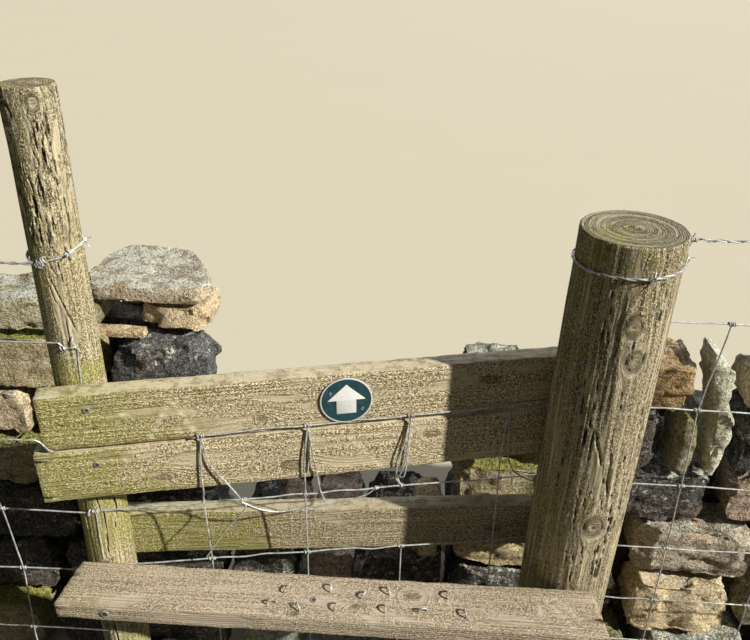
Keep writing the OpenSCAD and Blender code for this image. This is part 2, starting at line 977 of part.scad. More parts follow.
module left_copes() {
  stretch = wall_length_left / left_cope_length;
  color("lightgray")
    left_wall_frame()
      for (i = [0 : len(left_cope_stones) - 1])
        flat_cope(left_cope_stones[i], stretch, i);
}

// Flat cope stone: broken outline in plan, lower edge chamfered on the near side.
module flat_cope(shape, stretch, i) {
  r = rands(0, 14, 8, 400 + i);
  a = shape[0] * stretch;
  b = (shape[0] + shape[1]) * stretch;
  front = left_top * wall_batter + shape[4];
  back = left_top * wall_batter + shape[5];
  corner = (back - front) * 0.25;
  thickness = shape[3] * slab_thickness;
  translate([0, 0, left_top + shape[2] * levelling_height])
    intersection() {
      linear_extrude(thickness)
        polygon([
          [a + 12 + r[0], front + r[1]],
          [b - 12 - r[2], front + r[3]],
          [b, front + corner + r[4]],
          [b - r[5], back - corner],
          [b - 30, back],
          [a + shape[6] + 30, back - r[6]],
          [a + shape[6] + r[7], back - corner],
          [a, front + corner]
        ]);
      rotate([90, 0, 90])
        linear_extrude(wall_length_left)
          polygon([
            [front + thickness * 0.2, 0],
            [back - thickness * 0.3, 0],
            [back, thickness * 0.4],
            [back - thickness * 0.15, thickness],
            [front + thickness * 0.25, thickness],
            [front, thickness * 0.55]
          ]);
    }
}

module right_hearting() {
  color("dimgray")
    right_wall_frame()
      hearting(wall_length_right, right_courses);
}

module right_footing() {
  color("gray")
    right_wall_frame()
      footing_stones(wall_length_right, right_courses, 0, 21);
}

module right_near_face() {
  color("darkkhaki")
    right_wall_frame()
      face_stones(wall_length_right, right_courses, 520);
}

module right_far_face() {
  color("darkkhaki")
    right_wall_frame()
      far_side()
        face_stones(wall_length_right, right_courses, 560);
}

module right_wall_ends() {
  color("gray")
    right_wall_frame()
      end_stones(wall_length_right, right_courses, 0, 600);
}

// Bedding stones on the right wall: start, length, height, front and back edge behind the face.
// The first lies open at the gap, the others carry stones.
right_bed_stones = [
  [2, 140, 92, 28, 296],
  [262, 90, 122, 6, 150],
  [752, 92, 60, 30, 220]
];

// Cope stones of the right wall, tumbled and set on edge, most of them leaning to the gap:
// start of the foot, thickness, height, lean per unit of height, height of the stone below,
// front and back edge behind the face.
copes = [
  [154, 96, 96, 0, 0, 8, 220],
  [466, 100, 126, 0.02, 0, 10, 150],
  [462, 96, 76, -0.04, 126 + bed_clearance, 14, 128],
  [584, 72, 176, -0.1, 0, 12, 190],
  [662, 84, 138, -0.08, 0, 6, 230],
  [752, 92, 118, -0.06, 60, 20, 240],
  [852, 66, 204, -0.05, 0, 10, 250],
  [926, 84, 170, -0.05, 0, 14, 256],
  [1018, 66, 192, -0.04, 0, 8, 244],
  [1092, 92, 160, -0.04, 0, 12, 262],
  [1192, 74, 206, -0.03, 0, 16, 250],
  [1274, 84, 172, -0.02, 0, 10, 246]
];
copes_length = 1373;

// Three stones beside the stout post, drawn as they stand: a block on the bedding stone, the slab
// that props its end, and a tall wedge of a slab on edge.
propped_block = [[262, 122], [350, 122], [366, 142], [379, 180], [376, 212], [352, 220], [272, 214], [258, 172]];
prop_slab = [[358, 0], [396, 0], [401, 50], [394, 96], [378, 120], [364, 128], [357, 90]];
wedge_slab = [
  [413, 0], [434, 0], [446, 35], [455, 74], [446, 122], [428, 162],
  [432, 209], [396, 248], [379, 246], [387, 197], [402, 145], [411, 102], [414, 45]
];

module right_bedding() {
  stretch = wall_length_right / copes_length;
  face = right_top * wall_batter;
  color("peru")
    right_wall_frame()
      for (i = [0 : len(right_bed_stones) - 1])
        stone(
          [right_bed_stones[i][0] * stretch, right_top],
          [(right_bed_stones[i][0] + right_bed_stones[i][1]) * stretch, right_top + right_bed_stones[i][2]],
          face + right_bed_stones[i][3],
          face + right_bed_stones[i][4],
          700 + i
        );
}

module right_copes() {
  stretch = wall_length_right / copes_length;
  color("lightgray")
    right_wall_frame() {
      for (shape = copes)
        cope(shape, stretch);
      drawn_stone(propped_block, stretch, 2, 134);
      drawn_stone(prop_slab, stretch, 4, 96);
      drawn_stone(wedge_slab, stretch, 2, 86);
    }
}

// A stone with a drawn outline on the wall top, its near corners and upper back edge broken off.
module drawn_stone(outline, stretch, front, back) {
  near = right_top * wall_batter + front;
  far = right_top * wall_batter + back;
  xs = [for (point = outline) point[0] * stretch];
  top = max([for (point = outline) point[1]]);
  translate([0, 0, right_top])
    intersection() {
      translate([0, far, 0])
        rotate([90, 0, 0])
          linear_extrude(far - near)
            polygon([for (point = outline) [point[0] * stretch, point[1]]]);
      linear_extrude(top)
        polygon([
          [min(xs), far],
          [max(xs), far],
          [max(xs), near + 16],
          [max(xs) - 10, near],
          [min(xs) + 10, near],
          [min(xs), near + 12]
        ]);
      rotate([90, 0, 90])
        linear_extrude(wall_length_right)
          polygon([
            [near, 0],
            [far, 0],
            [far, top * 0.8],
            [far - 16, top],
            [near + 8, top],
            [near, top * 0.93]
          ]);
    }
}

// One cope stone: a leaning outline with broken shoulders, cut by a broken side view.
module cope(shape, stretch) {
  foot = shape[0] * stretch;
  thickness = shape[1] * stretch;
  height = shape[2];
  lean = shape[3];
  front = right_top * wall_batter + shape[5];
  back = right_top * wall_batter + shape[6];
  depth = back - front;
  translate([0, 0, right_top + shape[4]])
    intersection() {
      translate([0, back, 0])
        rotate([90, 0, 0])
          linear_extrude(depth)
            polygon([
              [foot, 0],
              [foot + thickness, 0],
              [foot + thickness + lean * height * 0.45 + 3, height * 0.45],
              [foot + thickness + lean * height * 0.82, height * 0.82],
              [foot + thickness * 0.7 + lean * height, height],
              [foot + thickness * 0.25 + lean * height, height],
              [foot + lean * height * 0.75, height * 0.75]
            ]);
      rotate([90, 0, 90])
        linear_extrude(wall_length_right)
          polygon([
            [front + depth * 0.04, 0],
            [back - depth * 0.06, 0],
            [back, height * 0.3],
            [back - depth * 0.02, height * 0.7],
            [back - depth * 0.2, height],
            [front + depth * 0.14, height],
            [front, height * 0.76],
            [front + depth * 0.02, height * 0.25]
          ]);
    }
}

// Low sill of through stones wedged between the two wall ends.
module sill_course(z0, z1, n, seed) {
  span = gap_left + gap_right;
  sill_frame()
    for (i = [0 : n - 1])
      stone(
        [joint_at(i, n, span, seed) + (i == 0 ? 0 : bed_clearance / 2), z0],
        [joint_at(i + 1, n, span, seed) - (i == n - 1 ? 0 : bed_clearance / 2), z1],
        0,
        sill_depth,
        seed * 10 + i,
        [true, true]
      );
}

module sill_frame() {
  placed()
    translate([-gap_left, wall_setback + 20, 0])
      children();
}

// Two loose blocks on the sill: start, length, height, depth. The second stands by the right wall.
module sill_blocks() {
  span = gap_left + gap_right;
  sill_frame()
    for (block = [[85, 78, 92, 120], [span - 78, 74, 100, 140]])
      stone(
        [block[0], sill_height + bed_clearance],
        [block[0] + block[1], sill_height + block[2]],
        4,
        block[3],
        860 + block[1]
      );
}

// Stone wedged between the foot of a post and the footing behind it.
module packing_stone(foot, width, height, seed) {
  translate([foot[0], foot[1], 0])
    stone([-width / 2, 0], [width / 2, height], -18, wall_setback - foot[1] + 30, seed);
}

module packing_stones() {
  color("gray")
    difference() {
      placed() {
        packing_stone(left_post_foot, packing_length * 0.8, packing_height * 1.1, 901);
        packing_stone(right_post_foot, packing_length, packing_height, 902);
        packing_stone(left_stake_foot + [stake_diameter / 2, 0], packing_length * 0.7, packing_height, 903);
        packing_stone(right_stake_foot - [stake_diameter / 2, 0], packing_length * 0.7, packing_height * 0.9, 904);
      }
      placed() {
        round_post(left_post_foot, left_lean, left_post_diameter, left_taper, left_post_height);
        round_post(right_post_foot, right_lean, right_post_diameter, right_taper, right_post_height);
        round_post(left_stake_foot, [0, 0], stake_diameter, left_taper, left_post_height);
        round_post(right_stake_foot, [0, 0], stake_diameter, left_taper, left_post_height);
      }
      left_footing();
      right_footing();
    }
}

module sill_lower_course() {
  color("gray")
    sill_course(0, sill_height * 0.55, 3, 81);
}

module sill_upper_course() {
  color("darkkhaki") {
    sill_course(sill_height * 0.55, sill_height, 3, 85);
    sill_blocks();
  }
}

left_post();
right_post();
left_stake();
right_stake();
step_board();
top_rail();
middle_rail();
lower_rail();
step_nails();
rail_nails();
grip_staples();
waymark_disc();
waymark_arrow();
waymark_pins();
left_netting();
stile_netting();
right_netting();
netting_staples();
barbed_staples();
left_barbed_wire();
right_barbed_wire();
barbed_wire_ties();
left_hearting();
left_footing();
left_near_face();
left_far_face();
left_wall_ends();
left_levelling();
left_copes();
right_hearting();
right_footing();
right_near_face();
right_far_face();
right_wall_ends();
right_bedding();
right_copes();
sill_lower_course();
sill_upper_course();
packing_stones();
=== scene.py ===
"""Timber step stile in a gap of a dry stone wall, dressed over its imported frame.

Everything is in metres. X runs along the wall, Y away from the walker's side, Z up.
"""

import json
import logging
import math
from dataclasses import dataclass, field, replace
from enum import Enum
from typing import Callable, Iterable, Sequence

import bmesh
import bpy
import numpy as np
from mathutils import Matrix, Vector

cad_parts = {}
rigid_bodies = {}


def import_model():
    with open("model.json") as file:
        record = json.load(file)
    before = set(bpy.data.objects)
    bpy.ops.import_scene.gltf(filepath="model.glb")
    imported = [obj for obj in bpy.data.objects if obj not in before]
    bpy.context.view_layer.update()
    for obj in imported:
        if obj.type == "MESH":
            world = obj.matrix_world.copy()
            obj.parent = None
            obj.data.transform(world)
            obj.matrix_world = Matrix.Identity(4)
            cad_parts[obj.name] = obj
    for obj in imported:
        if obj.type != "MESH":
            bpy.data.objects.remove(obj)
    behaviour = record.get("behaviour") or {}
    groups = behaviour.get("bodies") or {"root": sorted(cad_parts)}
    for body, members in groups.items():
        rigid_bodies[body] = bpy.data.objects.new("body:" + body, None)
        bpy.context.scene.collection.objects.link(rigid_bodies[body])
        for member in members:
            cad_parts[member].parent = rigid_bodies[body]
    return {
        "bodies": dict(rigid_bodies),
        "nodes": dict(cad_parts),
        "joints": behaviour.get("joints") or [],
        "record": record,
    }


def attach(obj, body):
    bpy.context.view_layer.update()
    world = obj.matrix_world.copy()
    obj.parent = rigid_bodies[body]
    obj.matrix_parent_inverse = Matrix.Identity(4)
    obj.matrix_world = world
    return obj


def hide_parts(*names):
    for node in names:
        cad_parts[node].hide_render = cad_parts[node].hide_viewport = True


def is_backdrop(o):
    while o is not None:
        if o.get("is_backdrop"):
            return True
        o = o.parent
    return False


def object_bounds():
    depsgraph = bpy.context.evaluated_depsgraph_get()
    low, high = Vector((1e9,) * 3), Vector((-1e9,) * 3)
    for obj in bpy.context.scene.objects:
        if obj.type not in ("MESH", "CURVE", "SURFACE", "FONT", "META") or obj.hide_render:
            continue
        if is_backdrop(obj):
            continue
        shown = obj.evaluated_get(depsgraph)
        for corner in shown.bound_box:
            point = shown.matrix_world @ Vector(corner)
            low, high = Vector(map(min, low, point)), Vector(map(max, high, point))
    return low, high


LOG = logging.getLogger("stile")
RING_SPACING = 0.0030
MILLIMETRE = 1000
# Cuts that part a long edge into tenths.
TENTHS = 9
Point = tuple[float, float, float]
Colour = tuple[float, float, float]
Pair = tuple[float, float]
Array = np.ndarray
Piece = bpy.types.Object


class Slot(Enum):
    """Material slots of the record."""

    POST = "post_timber"
    RAIL = "rail_timber"
    STEP = "step_timber"
    RUST = "rusty_steel"
    WIRE = "galvanised_wire"
    DISC = "disc_green"
    ARROW = "disc_white"
    HEARTING = "hearting_stone"
    GREY = "grey_stone"
    TAN = "tan_stone"
    LICHEN = "lichened_stone"


@dataclass(frozen=True)
class Layout:
    """Driving sizes of the stile, in metres, with the places that follow from them."""

    post_spacing: float = 0.726
    left_height: float = 1.165
    left_diameter: float = 0.074
    right_height: float = 1.006
    right_diameter: float = 0.137
    left_taper: float = 0.87
    right_taper: float = 0.965
    left_lean: Pair = (0.010, 0.005)
    right_lean: Pair = (0.011, -0.004)
    left_depth: float = 0.034
    right_depth: float = 0.072
    far_depth: float = 0.105
    board_width: float = 0.087
    board_thickness: float = 0.032
    board_length: float = 0.806
    board_start: float = -0.042
    top_rail_height: float = 0.775
    rail_gap: float = 0.003
    lower_rail_height: float = 0.482
    step_height: float = 0.450
    seat_depth: float = 0.0015
    top_tilt: float = 0.8
    lower_tilt: float = 1.25
    wire: float = 0.0025
    stay_spacing: float = 0.150
    bay_stays: int = 8
    net_top: float = 0.839
    barbed_height: float = 0.952
    right_barbed_height: float = 0.967
    barbed: float = 0.004
    middle_y: float = 0.241
    middle_rail_shift: float = -0.017
    nail_place: float = 0.018
    end_inset: float = 0.024
    first_knot: float = 0.204

    @property
    def rail_end(self) -> float:
        """Place of the nails near the right ends of the rails."""
        return self.board_start + self.board_length - self.end_inset

    @property
    def rail_wire(self) -> float:
        """Height of the netting's second wire on the rails."""
        return self.middle_rail_height + 0.008

    @property
    def crossing_wire(self) -> float:
        """Height of the highest wire that still crosses under the rails."""
        return self.middle_rail_height - self.board_width - 0.046

    @property
    def line_heights(self) -> list[float]:
        """Heights of the eight line wires."""
        shares = (0.033, 0.119, 0.227, 0.352, 0.495, 0.653, 0.826, 1.0)
        return [self.net_top * share for share in shares]

    @property
    def middle_rail_height(self) -> float:
        """Upper edge of the middle rail over the left post."""
        return self.top_rail_height - self.board_width - self.rail_gap

    @property
    def first_stay(self) -> float:
        """Place of the stay on the left post."""
        return -self.post_spacing / 2 + 0.016

    def turned(self, post: str) -> Point:
        """Diameter, taper and height of a post or stake."""
        if post == "right":
            return self.right_diameter, self.right_taper, self.right_height
        return self.left_diameter, self.left_taper, self.left_height

    def centre(self, post: str, z: float | Array) -> tuple[float | Array, float | Array]:
        """Centre of a post or stake at one height or at many.

        Args:
            post: "left" or "right", or "left_stake" or "right_stake".
            z: Height or heights.

        Returns:
            Place along X and along Y.
        """
        side = -1 if post.startswith("left") else 1
        far = self.bay_stays * self.stay_spacing if post.endswith("stake") else 0.0
        depth = {"right": self.right_depth, "right_stake": self.far_depth}.get(post, self.left_depth)
        lean = {"left": self.left_lean, "right": self.right_lean}.get(post, (0.0, 0.0))
        return side * (self.post_spacing / 2 + far) + lean[0] * z, depth + lean[1] * z - self.middle_y

    def radius(self, post: str, z: float | Array) -> float | Array:
        """Radius of a post or stake at one height or at many."""
        diameter, taper, height = self.turned(post)
        return diameter / 2 * (1 - (1 - taper) * z / height)

    def section(self, flat: bool) -> Pair:
        """Size of a board from front to back and from top to bottom."""
        return (self.board_width, self.board_thickness) if flat else (self.board_thickness, self.board_width)

    def bearing(self, z: float, left_offset: float, right_offset: float) -> float:
        """Plan angle of a line passing both posts at signed distances."""
        left, right = Vector(self.centre("left", z)), Vector(self.centre("right", z))
        run = right - left
        return math.atan2(run.y, run.x) - math.asin((right_offset - left_offset) / run.length)

    def around(self, post: str, angle: float, z: float, out: float = 0.0) -> Vector:
        """Point on a post or stake, by its angle from +X and its height."""
        x, y = self.centre(post, z)
        turn, reach = math.radians(angle), self.radius(post, z) + out
        return Vector((x + reach * math.cos(turn), y + reach * math.sin(turn), z))


@dataclass(frozen=True)
class BoardFrame:
    """Frame of one board: its origin at the left post, and its two turns in degrees."""

    origin: Pair
    angle: float
    tilt: float
    top: float

    @property
    def matrix(self) -> Matrix:
        """Matrix from the board's own x, y (into the board) and z (down from its top) to the row.

        Returns:
            The matrix.
        """
        return (
            Matrix.Translation((self.origin[0], self.origin[1], self.top))
            @ Matrix.Rotation(self.angle, 4, "Z")
            @ Matrix.Rotation(-math.radians(self.tilt), 4, "Y")
        )


def board_frame(
    plan: Layout, level: float, offset: float, right_offset: float, tilt: float, top: float
) -> BoardFrame:
    """Frame of a board that passes the centres of both posts at signed distances.

    Args:
        plan: Driving sizes.
        level: Height at which the board meets the posts.
        offset: Distance in front of the left post's centre.
        right_offset: The same at the right post.
        tilt: Fall towards the left in degrees.
        top: Height of the board's upper edge over the left post.

    Returns:
        The frame.
    """
    angle = plan.bearing(level, offset, right_offset)
    x, y = plan.centre("left", level)
    return BoardFrame((x + offset * math.sin(angle), y - offset * math.cos(angle)), angle, tilt, top)


def rail_frame(plan: Layout, top: float) -> BoardFrame:
    """Frame of the two near rails."""
    level = plan.top_rail_height - plan.board_width
    offset = plan.radius("left", level) - plan.seat_depth + plan.board_thickness
    return board_frame(plan, level, offset, plan.seat_depth - plan.radius("right", level), plan.top_tilt, top)


def lower_frame(plan: Layout) -> BoardFrame:
    """Frame of the lower rail."""
    level = plan.lower_rail_height - plan.board_width / 2
    left, right = (plan.seat_depth - plan.radius(post, level) for post in ("left", "right"))
    return board_frame(plan, level, left, right, plan.lower_tilt, plan.lower_rail_height)


def step_frame(plan: Layout) -> BoardFrame:
    """Frame of the step."""
    level = plan.step_height
    left, right = (plan.radius(post, level) - plan.seat_depth for post in ("left", "right"))
    return board_frame(plan, level, left, right, 0.0, level)


def lattice(cells: Array, seed: int) -> Array:
    """Repeatable random numbers from 0 to 1 for whole-number cells.

    Args:
        cells: Whole-number coordinates, one row a point.
        seed: Number that sets the pattern.

    Returns:
        One number for each row.
    """
    q = cells.astype(np.int64)
    h = q[:, 0] * 374761393 + q[:, 1] * 668265263 + q[:, 2] * 2147483647 + seed * 974634777
    h = (h ^ (h >> 13)) * 1274126177
    h = (h ^ (h >> 16)) * 668265263
    return ((h ^ (h >> 15)) & 0xFFFFFF) / float(0xFFFFFF)


def rows(*columns: Array | float) -> Array:
    """Points from columns, of which some may be one number."""
    return np.column_stack(np.broadcast_arrays(*columns))


def unit(values: Array) -> Array:
    """Numbers held between 0 and 1."""
    return np.clip(values, 0, 1)


def bell(x: Array, power: int = 2) -> Array:
    """Bell curve: 1 at 0, next to nothing past 1."""
    return np.exp(-(x**power))


def through(matrix: Matrix, points: Array) -> Array:
    """Points moved by a matrix."""
    return points @ np.array(matrix.to_3x3()).T + np.array(matrix.translation)


def noise(points: Array, seed: int) -> Array:
    """Smooth lattice noise from -1 to 1 at each point.

    Args:
        points: Points in units of one cell.
        seed: Number that sets the pattern.

    Returns:
        One number for each point.
    """
    base = np.floor(points)
    t = points - base
    t = t * t * (3 - 2 * t)
    total = np.zeros(len(points))
    for corner in range(8):
        step = np.array([corner & 1, corner >> 1 & 1, corner >> 2 & 1])
        weight = np.prod(np.where(step, t, 1 - t), axis=1)
        total += weight * lattice(base + step, seed)
    return total * 2 - 1


def rough(points: Array, seed: int, octaves: int = 3) -> Array:
    """Layered noise from about -1 to 1.

    Args:
        points: Points in units of the largest cell.
        seed: Number that sets the pattern.
        octaves: Number of layers.

    Returns:
        One number for each point.
    """
    total, size, share = np.zeros(len(points)), 1.0, 0.5
    for layer in range(octaves):
        total += noise(points * size, seed + layer * 17) * share
        size, share = size * 2.03, share * 0.5
    return total * 1.6


def facets(points: Array, seed: int) -> Array:
    """Tilted flats like broken stone: each cell of a jittered lattice has its own slope.

    Args:
        points: Points in units of one cell.
        seed: Number that sets the pattern.

    Returns:
        Height of the flat at each point, from about -1 to 1.
    """
    base = np.floor(points)
    best = np.full(len(points), 1e9)
    height = np.zeros(len(points))
    for step in np.ndindex(3, 3, 3):
        cell = base + np.array(step) - 1
        jitter = np.stack([lattice(cell, seed + k) for k in range(3)], axis=1)
        slope = np.stack([lattice(cell, seed + 5 + k) for k in range(3)], axis=1) * 2 - 1
        offset = points - cell - jitter
        distance = (offset**2).sum(axis=1)
        nearer = distance < best
        best = np.where(nearer, distance, best)
        height = np.where(nearer, (offset * slope).sum(axis=1) + slope[:, 0] * 0.4, height)
    return height


def box_of(piece: Piece) -> tuple[Array, Array]:
    """Middle and half size of a piece's box."""
    p = points_of(piece)
    low, high = p.min(axis=0), p.max(axis=0)
    return (low + high) / 2, (high - low) / 2


def deselect() -> None:
    """Leaves no object selected and no edit mode open."""
    if bpy.context.mode != "OBJECT":
        bpy.ops.object.mode_set(mode="OBJECT")
    bpy.ops.object.select_all(action="DESELECT")


def take(*pieces: Piece) -> None:
    """Selects these pieces only; the first is the active one."""
    deselect()
    for piece in pieces:
        piece.select_set(True)
    bpy.context.view_layer.objects.active = pieces[0]


def edit(piece: Piece) -> None:
    """Opens a piece in edit mode with all of it selected."""
    take(piece)
    bpy.ops.object.mode_set(mode="EDIT")
    bpy.ops.mesh.select_all(action="SELECT")


def pick(piece: Piece, kind: str, test: Callable[..., bool]) -> None:
    """Selects the parts of a piece in edit mode that pass a test.

    Args:
        piece: Object that is open in edit mode.
        kind: "VERT", "EDGE" or "FACE".
        test: Says of one element if it is taken.
    """
    bpy.ops.mesh.select_mode(type=kind)
    bpy.ops.mesh.select_all(action="DESELECT")
    mesh = bmesh.from_edit_mesh(piece.data)
    for element in {"VERT": mesh.verts, "EDGE": mesh.edges, "FACE": mesh.faces}[kind]:
        if test(element):
            element.select_set(True)
    mesh.select_flush_mode()
    bmesh.update_edit_mesh(piece.data)


def split(piece: Piece, axes: str, least: float, cuts: int) -> None:
    """Cuts the long edges of a piece in edit mode into equal parts.

    Args:
        piece: Object that is open in edit mode.
        axes: Axes along which an edge is measured.
        least: Length over which an edge is cut.
        cuts: Number of cuts in each.
    """

    def is_long(edge: bmesh.types.BMEdge) -> bool:
        """True where the edge is long enough."""
        run = edge.verts[0].co - edge.verts[1].co
        return math.hypot(*(getattr(run, axis) for axis in axes)) > least

    pick(piece, "EDGE", is_long)
    bpy.ops.mesh.subdivide(number_cuts=cuts)


def points_of(piece: Piece) -> Array:
    """Vertices of a piece as rows."""
    flat = np.empty(len(piece.data.vertices) * 3, np.float32)
    piece.data.vertices.foreach_get("co", flat)
    return flat.reshape(-1, 3).astype(float)


def normals_of(piece: Piece) -> Array:
    """Vertex normals of a piece as rows."""
    flat = np.empty(len(piece.data.vertices) * 3, np.float32)
    piece.data.vertex_normals.foreach_get("vector", flat)
    return flat.reshape(-1, 3).astype(float)


def move_points(piece: Piece, points: Array) -> None:
    """Puts the vertices of a piece at new places."""
    piece.data.vertices.foreach_set("co", points.astype(np.float32).ravel())
    piece.data.update()


def store(piece: Piece, name: str, values: Array) -> None:
    """Keeps one number or one colour for each vertex, for the material.

    Args:
        piece: The mesh object.
        name: Name of the attribute.
        values: One number a vertex, or three columns of a colour.
    """
    count = len(piece.data.vertices)
    if values.ndim == 1:
        attribute = piece.data.attributes.new(name, "FLOAT", "POINT")
        attribute.data.foreach_set("value", values.astype(np.float32))
        return
    attribute = piece.data.attributes.new(name, "FLOAT_COLOR", "POINT")
    colours = np.ones((count, 4), np.float32)
    colours[:, :3] = values
    attribute.data.foreach_set("color", colours.ravel())


def map_grain(piece: Piece, u: Array, v: Array, seam: float = 0.0) -> None:
    """Keeps grain coordinates as a UV map, with the seam of a round piece closed.

    Args:
        piece: The mesh object.
        u: Place across the grain at each vertex.
        v: Place along the grain.
        seam: For a round piece, four fifths of its girth.
    """
    layer = piece.data.uv_layers.new(name="grain")
    corners = np.empty(len(piece.data.loops), np.int32)
    piece.data.loops.foreach_get("vertex_index", corners)
    uv = np.column_stack([u[corners], v[corners]])
    for face in piece.data.polygons if seam else ():
        span = uv[face.loop_start : face.loop_start + face.loop_total, 0]
        if span.max() - span.min() > seam * 0.5:
            span[span < 0] += seam * 1.25
    layer.data.foreach_set("uv", uv.astype(np.float32).ravel())


def mark_wood(
    piece: Piece, crack: Array, green: Array, knot: Array, ring: Array, end: Array, scar: Array
) -> None:
    """Keeps what the material of every timber reads, with one number for each vertex.

    Args:
        piece: The mesh object.
        crack: How deep in a crack.
        green: How much algae, and on the posts painted shade on the side turned from the sun.
        knot: How much of a knot.
        ring: Place in the growth rings.
        end: True on end grain.
        scar: How scratched or torn.
    """
    store(piece, "stain", rows(unit(crack), unit(green), unit(knot)))
    store(piece, "ring", ring)
    store(piece, "end_grain", end.astype(float))
    store(piece, "scar", unit(scar))


def settle(piece: Piece) -> None:
    """Writes a piece's place, turn and size into its mesh."""
    take(piece)
    bpy.ops.object.transform_apply(location=True, rotation=True, scale=True)


def smooth(piece: Piece, degrees: float) -> Piece:
    """Shades a piece smooth but for edges sharper than an angle, and hands it back."""
    take(piece)
    bpy.ops.object.shade_smooth_by_angle(angle=math.radians(degrees))
    return piece


def even_mesh(piece: Piece, size: float) -> None:
    """Gives a piece an even mesh of that size, after the modifiers that it has.

    Args:
        piece: The mesh object.
        size: Size of a voxel.
    """
    even = piece.modifiers.new("even", "REMESH")
    even.mode = "VOXEL"
    even.voxel_size = size
    take(piece)
    for modifier in list(piece.modifiers):
        bpy.ops.object.modifier_apply(modifier=modifier.name)


def copy_of(node: Piece, name: str) -> Piece:
    """A merged copy of a CAD node with a mesh of its own.

    Args:
        node: The CAD node.
        name: Name of the copy.

    Returns:
        The copy.
    """
    piece = bpy.data.objects.new(name, node.data.copy())
    bpy.context.scene.collection.objects.link(piece)
    piece.data.materials.clear()
    edit(piece)
    bpy.ops.mesh.remove_doubles(threshold=0.00002)
    bpy.ops.mesh.dissolve_limited(angle_limit=math.radians(0.5))
    deselect()
    return piece


def join(pieces: Sequence[Piece], name: str) -> Piece:
    """Joins pieces into one object of that name.

    Args:
        pieces: Pieces, of which the first takes in the others.
        name: Name of the whole.

    Returns:
        The joined object.
    """
    take(*pieces)
    if len(pieces) > 1:
        bpy.ops.object.join()
    piece = bpy.context.view_layer.objects.active
    piece.name = name
    piece.data.name = name
    return piece


def report(piece: Piece, material: bpy.types.Material, slot: Slot, nodes: Iterable[str]) -> None:
    """Dresses a finished piece, lets it ride and stand for its nodes, and logs it.

    Args:
        piece: The piece.
        material: Its finish.
        slot: Its slot in the record; not used.
        nodes: CAD nodes that it stands for.
    """
    piece.data.materials.clear()
    piece.data.materials.append(material)
    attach(piece, "root")
    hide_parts(*nodes)
    triangles = sum(len(face.vertices) - 2 for face in piece.data.polygons)
    LOG.info("%s: %d triangles for %s", piece.name, triangles, ", ".join(nodes))


class Value:
    """A number socket that Python's own signs work on."""

    def __init__(self, graph: "Graph", socket: bpy.types.NodeSocket) -> None:
        """Keeps the socket and the graph it belongs to."""
        self.graph = graph
        self.socket = socket

    def __add__(self, other: "Value | float") -> "Value":
        """Sum."""
        return self.graph.maths("ADD", self, other)

    __radd__ = __add__

    def __mul__(self, other: "Value | float") -> "Value":
        """Product."""
        return self.graph.maths("MULTIPLY", self, other)

    __rmul__ = __mul__

    def __sub__(self, other: "Value | float") -> "Value":
        """Difference."""
        return self.graph.maths("SUBTRACT", self, other)

    def __rsub__(self, other: float) -> "Value":
        """Difference from a number."""
        return self.graph.maths("SUBTRACT", other, self)

    def __pow__(self, other: float) -> "Value":
        """Power."""
        return self.graph.maths("POWER", self, other)

    def above(self, low: float, high: float) -> "Value":
        """Smooth rise from 0 at low to 1 at high."""
        inputs = {"Value": self, "From Min": low, "From Max": high}
        return self.graph.add("ShaderNodeMapRange", {"interpolation_type": "SMOOTHSTEP"}, inputs)


